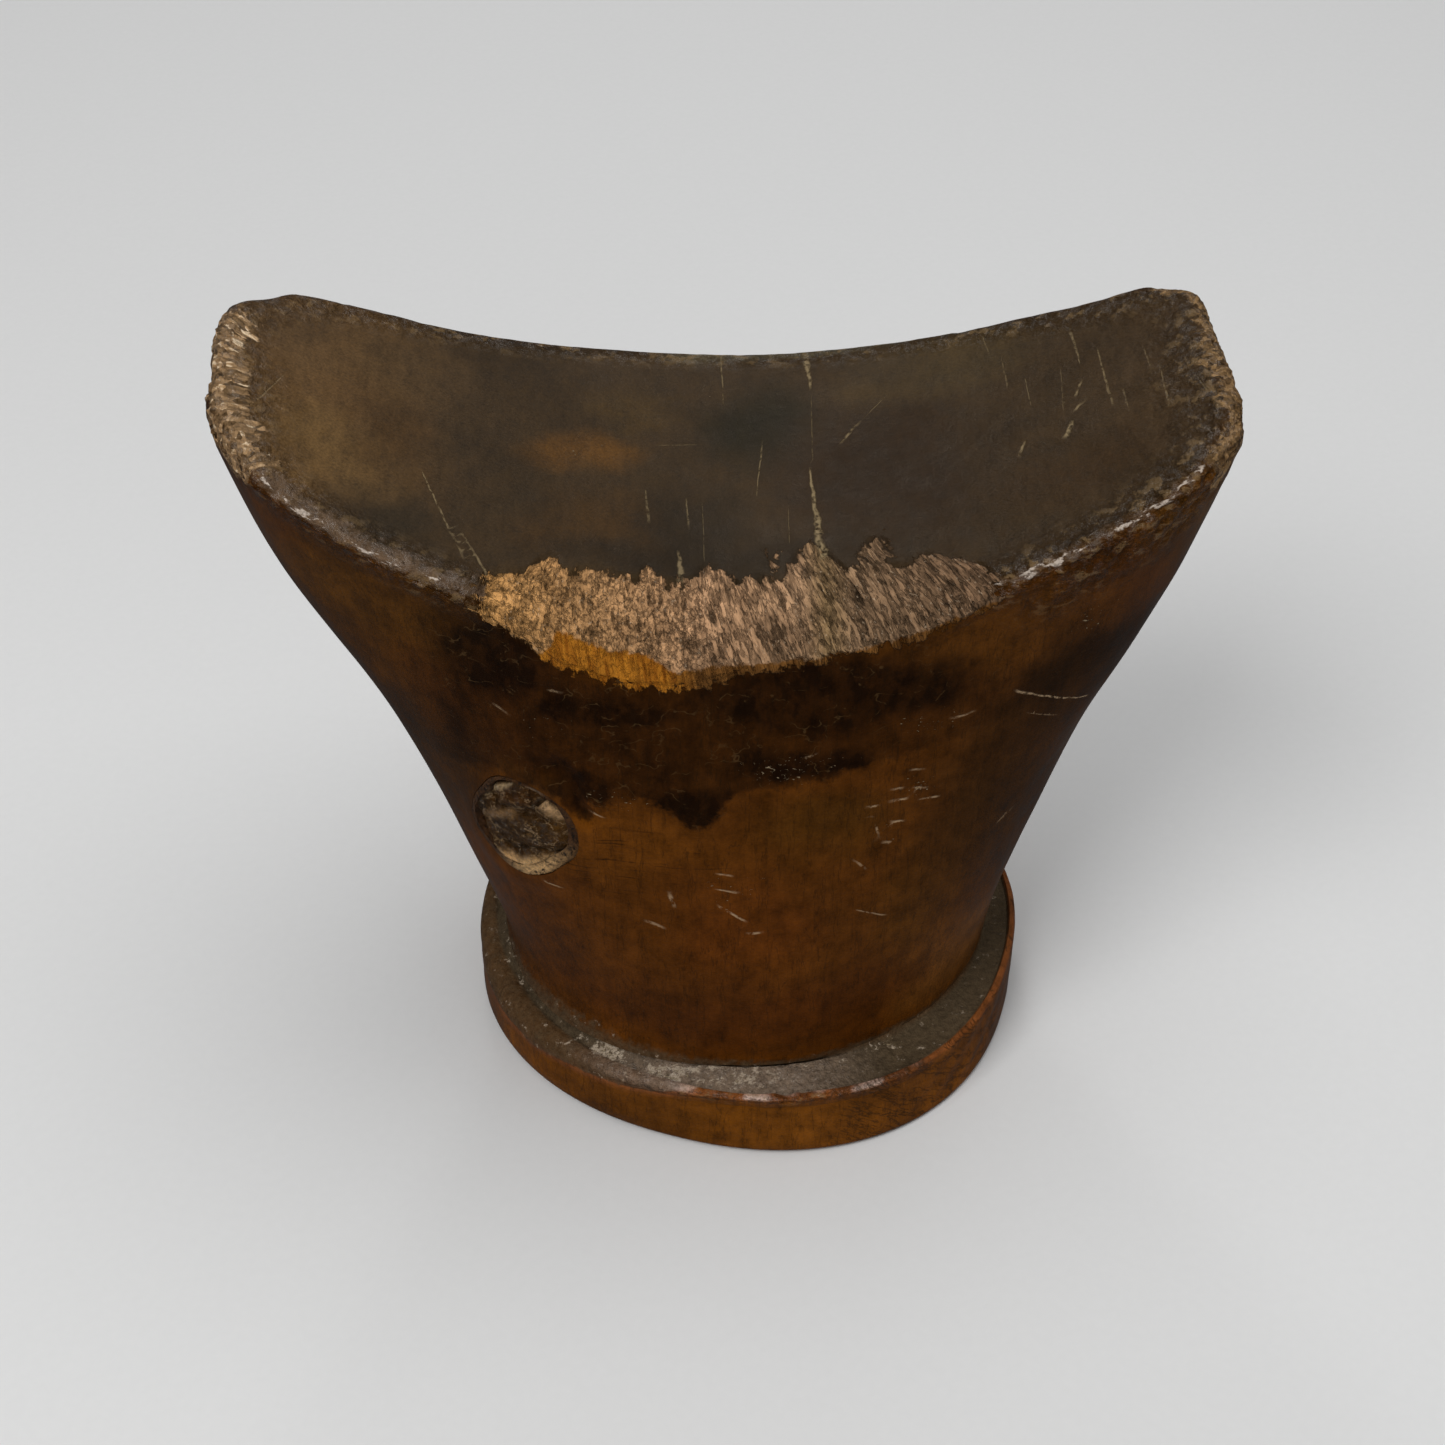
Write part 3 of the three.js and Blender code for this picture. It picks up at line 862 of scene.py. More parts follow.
# Scratches and nicks in the dish, on X and Y: two ends, half a width at each, and a strength. Those
# that lie side by side run opposite ways, so that the offset keeps its sign between them.
DISH_SCRATCHES = [
    ((16.3, 1), (17, -27), 0.2, 0.95, 1.0),
    ((18, 40), (18.2, 26.5), 0.9, 0.25, 0.9),
    ((18.2, 26), (17, 2), 0.15, 0.15, 0.35),
    ((0.5, 41), (0.4, 25.4), 0.25, 0.15, 0.6),
    ((7.5, 9), (5.7, -6.6), 0.22, 0.14, 0.7),
    ((23.6, 8.8), (27.5, 14.5), 0.35, 0.3, 0.9),
    ((27.5, 14.5), (32.5, 21), 0.16, 0.12, 0.5),
    ((-12.7, 9.7), (-5.8, 10), 0.14, 0.14, 0.5),
    ((-15.1, -15.1), (-15.6, -5.2), 0.4, 0.2, 0.45),
    ((-7.8, -7.9), (-7.6, -15.7), 0.18, 0.25, 0.65),
    ((-4.9, -26.2), (-4.8, -9.4), 0.12, 0.12, 0.4),
    ((-9.6, -24.5), (-9.4, -32.5), 0.3, 0.8, 0.8),
    ((11.1, -22.5), (11.5, -11.9), 0.12, 0.12, 0.4),
    ((-57.3, -9.7), (-48.8, -32.7), 0.18, 0.35, 0.75),
    ((-44.6, -36), (-49.4, -25.3), 0.35, 0.18, 0.8),
    ((-86.9, -4.3), (-83.5, 6.2), 0.22, 0.16, 0.55),
    ((53.4, 34), (54, 27), 0.16, 0.16, 0.45),
    ((56, 14.8), (56.1, 24.6), 0.22, 0.14, 0.5),
    ((59.5, 16.7), (59.4, 6.9), 0.14, 0.14, 0.45),
    ((64.8, 1), (66.1, 14.4), 0.14, 0.14, 0.35),
    ((69.6, 26), (69.7, 14.7), 0.35, 0.14, 0.8),
    ((69.2, 9), (67.6, 5.2), 0.3, 0.4, 0.95),
    ((68.3, 2.4), (66.4, 0.6), 0.4, 0.35, 0.95),
    ((66, -2.4), (64.2, -6.3), 0.4, 0.65, 1.0),
    ((56.8, -3.9), (55.6, -7.2), 0.3, 0.4, 0.85),
    ((73.3, -1.5), (73.4, 17), 0.3, 0.16, 0.7),
    ((75.9, 1.8), (75.8, -4.7), 0.14, 0.14, 0.4),
    ((81.3, 5.3), (81.1, 12), 0.14, 0.16, 0.45),
    ((82.4, -8), (82.9, 5), 0.22, 0.14, 0.5),
    ((88, -3), (89, -9), 0.14, 0.14, 0.4),
]
# The same on the front flank, on X and Z.
FLANK_SCRATCHES = [
    ((53.8, 116.4), (69.4, 105.7), 0.35, 0.2, 1.0),
    ((62.8, 104.9), (56.9, 108.9), 0.18, 0.12, 0.5),
    ((41.5, 113.0), (45.0, 113.6), 0.35, 0.3, 0.6),
    ((36.2, 101.0), (34.2, 101.2), 0.3, 0.35, 0.7),
    ((30.8, 97.0), (32.8, 97.2), 0.4, 0.3, 0.8),
    ((34.4, 96.6), (37.2, 96.0), 0.3, 0.3, 0.8),
    ((39.6, 92.9), (36.4, 93.1), 0.35, 0.25, 1.0),
    ((33.4, 94.0), (29.8, 93.8), 0.4, 0.5, 1.0),
    ((28.6, 93.4), (26.0, 93.2), 0.3, 0.4, 0.9),
    ((30.9, 88.6), (33.0, 88.2), 0.45, 0.35, 0.9),
    ((27.8, 87.8), (28.3, 85.8), 0.35, 0.3, 0.7),
    ((31.0, 83.0), (29.2, 83.5), 0.45, 0.5, 0.8),
    ((54.3, 77.8), (56, 78.8), 0.45, 0.45, 0.8),
    ((24.0, 79.5), (25.8, 77.3), 0.35, 0.3, 0.6),
    ((24.5, 66.0), (30.5, 62.5), 0.2, 0.25, 0.6),
    ((-3.2, 78.4), (-0.6, 77.8), 0.3, 0.35, 0.7),
    ((0.6, 73.4), (-3.4, 74.2), 0.35, 0.2, 0.8),
    ((-3.0, 69.6), (2.0, 65.8), 0.3, 0.35, 0.9),
    ((-12.8, 72.6), (-12.0, 69.4), 0.6, 0.5, 0.7),
    ((-17.4, 64.2), (-14.2, 62.9), 0.5, 0.4, 0.6),
    ((2.8, 62.4), (5.4, 62.5), 0.45, 0.4, 0.8),
    ((-37.4, 69.6), (-34.0, 69.2), 0.3, 0.3, 0.7),
    ((-27.2, 92.4), (-25.4, 91.8), 0.3, 0.25, 0.8),
    ((-34, 122.8), (-32, 122.9), 0.4, 0.4, 0.7),
    ((-44.8, 117.1), (-42.8, 115.6), 0.35, 0.35, 0.5),
    ((13.6, 107.6), (14.8, 108.2), 0.4, 0.3, 0.7),
]


def blended(colour, points, u, v, blotches):
    """The colour with uneven oval blotches of others laid over it."""
    colour = np.tile(np.array(colour), (len(u), 1))
    u = u + 7 * layered_noise(points, 13, 61, 4)
    v = v + 7 * layered_noise(points, 13, 65, 4)
    for middle_u, middle_v, half_u, half_v, other, strength in blotches:
        distance = np.hypot((u - middle_u) / half_u, (v - middle_v) / half_v)
        colour = tinted(colour, other, strength * smooth(1.4, 0.3, distance))
    return colour


def stains(at):
    """How far each point lies above the stain's lower edge, and how dark the stain is there."""
    x_places, z_places = np.array(STAIN_EDGE).T
    behind = smooth(-20, 15, at.y)
    edge = np.interp(at.x, x_places, z_places) * (1 - behind)
    edge += (106 + 9 * noise(at.points, 24, 66)) * behind
    amount = 0.7 + 0.25 * layered_noise(at.points, (9, 9, 13), 67, 4)
    amount -= (0.5 * smooth(26, 52, at.x) + 0.5 * smooth(-52, -62, at.x)) * (1 - behind)
    u = at.x + 5 * layered_noise(at.points, 10, 68, 3)
    v = at.z + 5 * layered_noise(at.points, 10, 71, 3)
    for middle_x, middle_z, half_x, half_z, most in STAIN_BLOTCHES:
        distance = np.hypot((u - middle_x) / half_x, (v - middle_z) / half_z)
        amount = np.maximum(amount, most * smooth(1.2, 0.5, distance) * (1 - behind))
    return np.clip(at.z - edge, -12, 12), np.clip(amount, 0, 1)


def orange_wood(at):
    """How far each point lies inside the bare orange wood under the lip's left half."""
    depth = np.interp(at.x, [-36, -32, -16, -12, -4, 4, 44, 48], [0, 7, 6.5, 3.6, 2.6, 1.2, 0.8, 0])
    places, down, _ = np.array(LIP_WEAR, float).T
    low = np.interp(at.x, places, down + RIM_WEAR + 1)
    return np.where(at.y < 0, depth - (low - at.down), NOWHERE)


def one_scratch(u, v, start, stop, width_start, width_stop, amount):
    """Each place's distance from a scratch, its offset in half widths, and how strong it is."""
    way = np.array(stop) - start
    size = math.hypot(*way)
    way = way / size
    share = ((u - start[0]) * way[0] + (v - start[1]) * way[1]) / size
    sideways = (v - start[1]) * way[0] - (u - start[0]) * way[1]
    past = np.maximum(np.maximum(-share, share - 1), 0) * size
    width = width_start + (width_stop - width_start) * np.clip(share, 0, 1)
    ends = smooth(-0.8, 0.8, np.minimum(share, 1 - share) * size)
    return np.hypot(sideways, past), sideways / width, ends * smooth(2.4, 1.2, np.abs(sideways)) * amount


def back_scratches():
    """Small scratches scattered over the back of the flank, on X and Z."""
    random = np.random.default_rng(8)
    for _ in range(26):
        start = random.uniform((-60, 30), (60, 130))
        way = random.uniform((-9, -7), (9, 7))
        yield start, start + way, 0.3, 0.2, random.uniform(0.4, 0.9)


def scratch_fields(at):
    """Each point's offset from the scratch nearest to it, in half widths, and how strong that is."""
    nearest, second, offset = (np.full(len(at.x), 99.0) for _ in range(3))
    strength = np.zeros(len(at.x))
    on_dish = np.isin(at.part, ["dish", "rim"]) & (at.z > DISH_LOW - 6)
    on_back = (at.part == "flank") & (at.y > 0)
    sides = (
        (on_dish, at.y, DISH_SCRATCHES),
        (at.on_front, at.z, FLANK_SCRATCHES),
        (on_back, at.z, back_scratches()),
    )
    for here, across, scratches in sides:
        for scratch in scratches:
            distance, sideways, near = one_scratch(at.x[here], across[here], *scratch)
            closer = distance < nearest[here]
            second[here] = np.minimum(second[here], np.maximum(distance, nearest[here]))
            nearest[here] = np.where(closer, distance, nearest[here])
            offset[here] = np.where(closer, sideways, offset[here])
            strength[here] = np.where(closer, near, strength[here])
    # Where two scratches are about as near, the offset may jump between them, so neither shows.
    return np.clip(offset, -20, 20), strength * smooth(0.8, 2.6, second - nearest)


# Scuffed places in the dish, on X and Y, with half sizes and an amount.
SCUFFS = [
    (-2, 28, 10, 11, 0.85),
    (-26, 5, 11, 9, 0.8),
    (20, 33, 16, 5, 0.75),
    (32, -4, 20, 7, 0.5),
    (-10, 2, 7, 10, 0.5),
    (70, 10, 14, 16, 0.4),
]
# Nicked places on the front flank, on X and Z, where pale specks are painted as glints on the nicks.
FLANK_NICKS = [
    (36, 97, 8, 6, 1.0),
    (31, 86, 5, 5, 0.9),
    (0, 74, 15, 9, 0.85),
    (-36, 114, 12, 8, 0.8),
    (66, 132, 12, 9, 0.9),
    (10, 105, 18, 7, 1.05),
    (-24, 97, 12, 6, 0.9),
    (36, 113, 14, 6, 0.9),
    (30, 66, 9, 6, 0.6),
    (-58, 118, 10, 14, 0.6),
    (-47, 74, 8, 10, 0.9),
]
# Where pale dirt lies thick on the ledge, on X and Y. At the front it also stands for the ledge's
# glints, as painted highlights.
LEDGE_CRUST = [
    (-28, -42, 8, 5, 1.35),
    (-14, -49, 11, 4, 1.3),
    (2, -51, 10, 3, 1.1),
    (33, -42, 5, 3, 1.2),
    (50, -12, 6, 12, 0.7),
    (-48, -14, 8, 14, 0.6),
]


def foot_colours(at):
    """The foot's wall, with a redder painted highlight along its top edge and a pale painted highlight
    line at the front.
    """
    far_left = bump(at.degrees, 180, 40)
    edge = bump(at.below_grime, 0.3, 1.5) * (at.part == "foot") * (1 - far_left)
    colour = shaded(FOOT_COLOUR, 1 + 0.3 * noise(at.points, (16, 16, 30), 73))
    colour = tinted(colour, FOOT_EDGE_HIGHLIGHT, 0.85 * edge)
    line = bump(at.below_top, 0.3, 0.7) * smooth(-34, -50, at.y) * smooth(36, 22, np.abs(at.x - 8))
    line *= smooth(-0.3, 0.4, noise(at.points, (3, 3, 3), 85))
    return tinted(colour, FOOT_FRONT_HIGHLIGHT, 0.8 * line)


def wood_colours(at, dish):
    """The colour of each point's polished wood, with the foot's painted highlights and the flank's
    painted edge shade, before any wear is laid over it.
    """
    points, part = at.points, at.part
    colour = blended(FLANK_COLOUR, points, at.x, at.z, FLANK_BLOTCHES)
    behind = smooth(-25, 10, at.y) * (1 - 0.3 * smooth(60, 90, np.abs(at.x)))
    colour = tinted(colour, shaded(FLANK_COLOUR, 0.75 + 0.25 * noise(points, 26, 72)), behind)
    dish_colour = blended(DISH_COLOUR, points, at.x, at.y, DISH_BLOTCHES)
    far_edge = smooth(38.5, 41, at.y) * smooth(-14, -4, at.x) * smooth(44, 34, at.x)
    dish_colour = tinted(dish_colour, FAR_EDGE_COLOUR, 0.8 * far_edge)
    colour = tinted(colour, dish_colour, dish)
    others = {"foot": foot_colours(at), "ledge": LEDGE_COLOUR, "under": UNDER_COLOUR}
    for name, other in others.items():
        colour = np.where((part == name)[:, None], other, colour)
    colour = shaded(colour, 1 + 0.22 * layered_noise(points, (13, 13, 24), 74, 3))

    # The wood is redder where its grain turns round the knot.
    swirl = near_line(at.knot_u, at.knot_v, (-6, 17), (6, 12.8), 3.0) * (at.knot_r < 40)
    return np.clip(tinted(colour, SWIRL_COLOUR, 0.8 * swirl), 0.0005, 1)


def raw_colours(at):
    """The colour of raw wood at each point's place on X."""
    places, tones = zip(*RAW_COLOURS)
    colour = np.stack([np.interp(at.x, places, tone) for tone in zip(*tones)], axis=1)
    return shaded(colour, 1 + 0.25 * layered_noise(at.points, 6, 77, 2))


def dirt(at):
    """How much grime lies on each point: on the ledge and on the foot's worn edge, and how far the flank
    darkens up from its corner with the ledge.
    """
    # The flank is darkened in a band up from the ledge, higher on the left front.
    climb = 3.5 + 4.5 * at.on_left_front
    corner = smooth(FOOT_HEIGHT + climb, FOOT_HEIGHT + 0.2, at.z) * (at.part == "flank")
    grime = np.where(at.part == "ledge", 1.0, 0.75 * corner)
    on_wall = at.worn_wall * smooth(0.6, -0.6, at.below_grime + 0.5 * noise(at.points, 4, 84))
    return np.where(at.part == "foot", on_wall, grime)


def specks(at, dish):
    """How thickly pale specks lie on each point."""
    speck = 0.22 + 0.1 * noise(at.points, 15, 78)
    sides = (
        (SCUFFS, at.y, dish),
        (FLANK_NICKS, at.z, at.on_front),
        (LEDGE_CRUST, at.y, at.part == "ledge"),
    )
    for patches, across, here in sides:
        for middle_x, middle, half_x, half, most in patches:
            distance = np.hypot((at.x - middle_x) / half_x, (across - middle) / half)
            speck = np.maximum(speck, most * smooth(1.3, 0.2, distance) * here)
    return speck


def glossy_and_sheen_places(at):
    """Where the wood is glossy, and where its colour takes a painted sheen: the rim, its right end, the
    ledge and its edge.
    """
    rim = smooth(9, 1, np.abs(at.across)) * at.on_body * (1 - smooth(-1, 1, at.raw))
    crumpled = 0.9 * at.below_right_rim * (at.part == "flank")
    ledge = (at.part == "ledge") * smooth(-35, -50, at.y) * smooth(40, 15, np.abs(at.x + 4))
    edge = (at.part == "foot") * bump(at.below_top, 0.6, 1.6)
    edge = edge * smooth(-30, -46, at.y) * smooth(44, 25, np.abs(at.x - 4))
    return np.maximum(np.maximum(rim, edge), np.maximum(crumpled, ledge))


def crest_wear_and_sheen_band(at):
    """How far each point lies inside the band along the crest that is painted grey, for its wear and as
    a painted sheen.
    """
    on_right = smooth(10, 40, at.x)
    band = 3.6 - 2.2 * on_right - np.abs(at.across - 1.2 + 0.8 * on_right)
    return np.where(at.on_body, band, NOWHERE) - 6 * at.end - 3 * (at.y >= 0)


def wood_attributes(at, gully, fibre_height):
    """All that the block's material reads, for each point of the grid."""
    points, part = at.points, at.part
    dish = np.where(part == "rim", smooth(-3, 3, at.across), part == "dish")

    stain, dark = stains(at)
    stain = np.where((part == "flank") | (part == "rim"), stain, -12) * (1 - dish) - 12 * dish
    # Points in the gully beside the knot are darkened too.
    stain, dark = np.maximum(stain, 9 * gully - 3.5), np.maximum(dark, gully)
    offset, strength = scratch_fields(at)
    gloss = 0.5 + 0.3 * noise(points, 18, 79) + 0.3 * (part == "rim")
    # Above 0 where fine lines go round the flank, and below 0 where strokes run aslant on the foot.
    lined = bump(at.x, -20, 30) * bump(at.z, 80, 15) * at.on_front
    lined = lined - smooth(14, 30, at.x) * (part == "foot") * (at.y < 0)
    tuft = np.clip(fibre_height * 1.6, -1, 1.2)

    vectors = {
        "worn": (at.raw, at.ends, orange_wood(at)),
        "stained": (stain, dark, dirt(at)),
        "marked": (offset, strength, specks(at, dish)),
        "kind": (dish, glossy_and_sheen_places(at), gloss),
        "finer": (lined, tuft, crest_wear_and_sheen_band(at)),
    }
    vectors = {name: np.stack(three, axis=1) for name, three in vectors.items()}
    vectors["lip_place"] = at.rim_place
    return vectors, {"tone": wood_colours(at, dish), "raw_tone": raw_colours(at)}


# ---- Shaders ----


class Value:
    """A number, colour or vector in a material, on which +, - and * work."""

    def __init__(self, shader, socket):
        self.shader, self.socket = shader, socket

    def __add__(self, other):
        return self.shader.maths("ADD", self, other)

    def __sub__(self, other):
        return self.shader.maths("SUBTRACT", self, other)

    def __rsub__(self, other):
        return self.shader.maths("SUBTRACT", other, self)

    def __mul__(self, other):
        return self.shader.maths("MULTIPLY", self, other)

    __radd__, __rmul__ = __add__, __mul__


class Shader:
    """A material, with one short call for each kind of node that it needs."""

    def __init__(self, name):
        self.material = bpy.data.materials.new(name)
        self.material.use_nodes = True
        self.tree = self.material.node_tree
        self.tree.nodes.clear()
        self.place = self.scaled(self.add("ShaderNodeTexCoord", outputs=("Object",)), (1 / MM,) * 3)

    def add(self, kind, inputs=(), outputs=(0,), **settings):
        """Adds a node, and gives the value at its output, or a list of them."""
        node = self.tree.nodes.new(kind)
        for name, value in settings.items():
            setattr(node, name, value)
        for key, value in dict(inputs).items():
            if isinstance(value, Value):
                self.tree.links.new(value.socket, node.inputs[key])
            else:
                node.inputs[key].default_value = value
        values = [Value(self, node.outputs[key]) for key in outputs]
        return values[0] if len(values) == 1 else values

    def maths(self, operation, a, b=0.0):
        return self.add("ShaderNodeMath", {0: a, 1: b}, operation=operation)

    def larger(self, a, b):
        return self.maths("MAXIMUM", a, b)

    def vector_maths(self, operation, a, b, output=0):
        return self.add("ShaderNodeVectorMath", {0: a, 1: b}, (output,), operation=operation)

    def scaled(self, vector, factors):
        return self.vector_maths("MULTIPLY", vector, factors)

    def swing(self, value, amount):
        """A noise of 0 to 1 as one from -amount to amount."""
        return value * (2 * amount) - amount

    def noise(self, size, detail=2.0, vector=None, roughness=0.55):
        """Noise of 0 to 1 whose grain is this big, in millimetres, as one number or three."""
        sizes = size if isinstance(size, tuple) else (size,) * 3
        vector = self.scaled(vector or self.place, tuple(1 / s for s in sizes))
        inputs = {"Vector": vector, "Scale": 1.0, "Detail": detail, "Roughness": roughness}
        return self.add("ShaderNodeTexNoise", inputs)

    def step(self, low, high, value):
        """0 below the low value and 1 above the high one, or the other way round."""
        inputs = {"Value": value, "From Min": low, "From Max": high}
        return self.add("ShaderNodeMapRange", inputs, interpolation_type="SMOOTHSTEP")

    def crease(self, value, wide, thin, middle=0.5):
        """1 on the thin line where a value passes its middle, and 0 a little way from it."""
        return self.step(wide, thin, self.maths("ABSOLUTE", value - middle))

    def attribute(self, name, output="Color"):
        return self.add("ShaderNodeAttribute", (), (output,), attribute_name=name)

    def three(self, vector):
        """The three numbers of a vector, or of the vector attribute with this name."""
        if isinstance(vector, str):
            vector = self.attribute(vector, "Vector")
        return self.add("ShaderNodeSeparateXYZ", {0: vector}, (0, 1, 2))

    def mix(self, factor, a, b, blend="MIX"):
        """Colour a where the factor is 0, and colour b where it is 1."""
        a, b = (c if isinstance(c, Value) else (*c, 1.0) for c in (a, b))
        inputs = {0: factor, 6: a, 7: b}
        return self.add("ShaderNodeMix", inputs, (2,), data_type="RGBA", blend_type=blend)

    def lit(self, colour, brightness):
        """The colour made brighter or darker by a number round 1."""
        inputs = {0: colour, "Scale": brightness}
        return self.add("ShaderNodeVectorMath", inputs, operation="SCALE")

    def bump(self, height, depth, under=None):
        """A normal for a height of 0 to 1 that stands for this depth in millimetres."""
        inputs = {"Height": height, "Distance": depth * MM, "Strength": 1.0}
        if under:
            inputs["Normal"] = under
        return self.add("ShaderNodeBump", inputs)

    def finish(self, colour, roughness, normal, **settings):
        inputs = {"Base Color": colour, "Roughness": roughness, "Normal": normal, **settings}
        surface = self.add("ShaderNodeBsdfPrincipled", inputs)
        self.add("ShaderNodeOutputMaterial", {"Surface": surface}, ())
        return self.material


def lacquer(coat, roughness, normal):
    return {"Coat Weight": coat, "Coat Roughness": roughness, "Coat Normal": normal}


WOOD_POLISH = {"Specular IOR Level": 0.15, "Specular Tint": (1.0, 0.7, 0.38, 1.0)}
KNOT_POLISH = {"Specular IOR Level": 0.25, "Specular Tint": (1.0, 0.8, 0.55, 1.0)}

# What the wear on the block is coloured with.
STAIN_TINT = (0.12, 0.11, 0.3)
CRACK, RUBBED_ARC, FOOT_STROKE = (0.012, 0.005, 0.001), (0.11, 0.062, 0.022), (0.022, 0.009, 0.002)
# Painted highlight on the folds' tops, and painted shade in their creases.
FOLD_TOP_HIGHLIGHT, FOLD_CREASE_SHADE = (0.26, 0.165, 0.075), (0.03, 0.013, 0.003)
# A painted glint along the crest's sharpest line.
CREST_GLINT = (0.66, 0.56, 0.47)
# Dirt, dirt painted paler as the ledge front's sheen, and pale crust that partly stands for glints.
DIRT, DIRT_WITH_SHEEN, CRUST_AND_GLINT = (0.072, 0.051, 0.029), (0.27, 0.195, 0.14), (0.68, 0.55, 0.41)
# Dark chips, and the painted glint on the brightest ones.
DARK_CHIP, CHIP_GLINT = (0.045, 0.027, 0.012), (0.85, 0.66, 0.44)
LEFT_CHIP, RIGHT_CHIP = (0.68, 0.42, 0.21), (0.46, 0.275, 0.12)
# A painted glint at the fibres' ends.
FIBRE_TIP_GLINT = (0.62, 0.46, 0.31)
BARE_ON_LEFT = ((0.25, 0.075, 0.005), (0.56, 0.215, 0.02))
BARE_ON_RIGHT = ((0.06, 0.022, 0.004), (0.2, 0.085, 0.02))
# The last: pale specks, partly polish come off in flakes and partly painted glints on the flank's nicks.
SIDE_SCRATCH, DISH_SCRATCH, FLAKE_AND_GLINT = (0.42, 0.29, 0.17), (0.29, 0.215, 0.115), (0.33, 0.25, 0.15)


class CarvedWood(Shader):
    """Dark, hand-polished wood: side grain on the flank, end grain in the dish, all its wear, and
    painted highlights and shade.

    Each layer of wear and of painted light is laid over the colour so far, and keeps what the gloss and
    relief ask for.
    """

    def __init__(self):
        super().__init__("carved_wood")
        self.tone, self.raw_tone = self.attribute("tone"), self.attribute("raw_tone")
        self.lip_place = self.attribute("lip_place", "Vector")
        self.lip_x, _, self.lip_across = self.three(self.lip_place)
        self.raw, self.ends, self.orange = self.three("worn")
        self.stain, self.dark, self.grime = self.three("stained")
        self.scratch_offset, self.scratch_strength, self.speck = self.three("marked")
        self.dish, self.shine, self.gloss = self.three("kind")
        self.lined, self.tuft, self.crest = self.three("finer")
        self.side = 1 - self.dish
        self.fibres = self.noise((0.6, 0.6, 7), 4)
        self.mottle = self.noise(5, 6, roughness=0.65)

    def lip_noise(self, size, detail, roughness=0.55):
        """Noise that runs along the rim and across it."""
        return self.noise(size, detail, self.lip_place, roughness)

    def polished(self):
        """Plain wood, with fibres and hoops on its side grain and pores on its end grain."""
        broad = self.noise((3.5, 3.5, 18), 4)
        hoops = self.step(0.43, 0.33, self.noise((12, 12, 0.6), 4, roughness=0.6))
        hoops = hoops * self.larger(self.lined, 0) * -0.75
        pores = self.noise(0.55, 2)
        on_side = self.swing(self.fibres, 0.22) + self.swing(broad, 0.35) + hoops
        on_side = on_side + self.swing(pores, 0.3) + self.swing(self.mottle, 0.95)
        on_dish = self.swing(pores, 0.6) + self.swing(self.noise((1.6, 6, 6), 4), 0.4)
        on_dish = on_dish + self.swing(self.mottle, 0.5)
        brightness = 1 + self.side * on_side + self.dish * on_dish
        return self.lit(self.tone, self.larger(brightness, 0.15))

    def stains(self, colour):
        """The dark stain on the upper flank, with an uneven lower edge and faint rubbed arcs."""
        edge = self.swing(self.noise(7, 5, roughness=0.6), 5) + self.swing(self.noise(1.4, 3), 1.6)
        patchy = self.step(0.4, 0.62, self.noise((3.4, 3.4, 6), 6, roughness=0.65))
        stained = self.step(-1.2, 1.6, self.stain + edge) * self.dark * (patchy * 0.22 + 0.86)
        stained = self.maths("MINIMUM", stained, 1)
        colour = self.mix(stained, colour, self.mix(1, colour, STAIN_TINT, "MULTIPLY"))
        colour = self.mix(self.hair_cracks() * 0.4, colour, CRACK)
        arcs = self.crease(self.noise((9, 9, 7), 3, roughness=0.5), 0.009, 0.003, 0.52)
        arcs = arcs * self.step(0.45, 0.6, self.noise(4, 4, roughness=0.7))
        return self.mix(arcs * stained * 0.4, colour, RUBBED_ARC)

    def hair_cracks(self):
        """Hair cracks along the side grain."""
        return self.crease(self.noise((2.6, 2.6, 26), 4, roughness=0.6), 0.014, 0.004) * self.side

    def foot_strokes(self, colour):
        """Thin dark strokes aslant on the right of the foot's wall."""
        turn = {"Vector": self.place, "Rotation": (0, math.radians(-42), 0)}
        aslant = self.add("ShaderNodeMapping", turn)
        strokes = self.crease(self.noise((14, 14, 2.2), 4, aslant, 0.65), 0.03, 0.008)
        return self.mix(strokes * self.larger(self.lined * -1, 0) * 0.65, colour, FOOT_STROKE)

    def folded(self, colour):
        """The crest and the crumpled right end, in folds with painted highlights on top and painted
        shade in the creases.
        """
        self.folds = self.noise((3.4, 3.4, 1.9), 5, roughness=0.62)
        on_folds = self.shine * (1 - self.grime)
        colour = self.mix(on_folds * self.step(0.54, 0.62, self.folds) * 0.5, colour, FOLD_TOP_HIGHLIGHT)
        creases = self.crease(self.folds, 0.05, 0.012, 0.47)
        return self.mix(on_folds * creases * 0.6, colour, FOLD_CREASE_SHADE)

    def crest_wear_and_glints(self, colour):
        """The crest is painted grey, partly for its wear and partly as a painted sheen, and its sharpest
        line has short runs of painted glints.
        """
        rubbed = self.crest + self.swing(self.lip_noise((1.8, 1.8, 1.5), 5, 0.7), 6)
        # Grey for the crest's wear and its painted sheen.
        grey = self.lit(CREST_WEAR_AND_SHEEN, 1 + self.swing(self.mottle, 1.2))
        colour = self.mix(self.step(0.2, 2.6, rubbed) * 0.7, colour, grey)
        # Painted glints in short runs along the crest's sharpest line.
        off_line = self.lip_across + self.swing(self.lip_noise(3, 3), 3)
        runs = self.lip_noise((4, 4, 2), 5, 0.7) + self.step(20, 50, self.lip_x) * 0.035
        glints = self.crease(off_line, 0.65, 0.15, 0.3) * self.step(0.5, 0.56, runs)
        return self.mix(glints * self.step(-0.5, 0.8, self.crest) * 0.8, colour, CREST_GLINT)

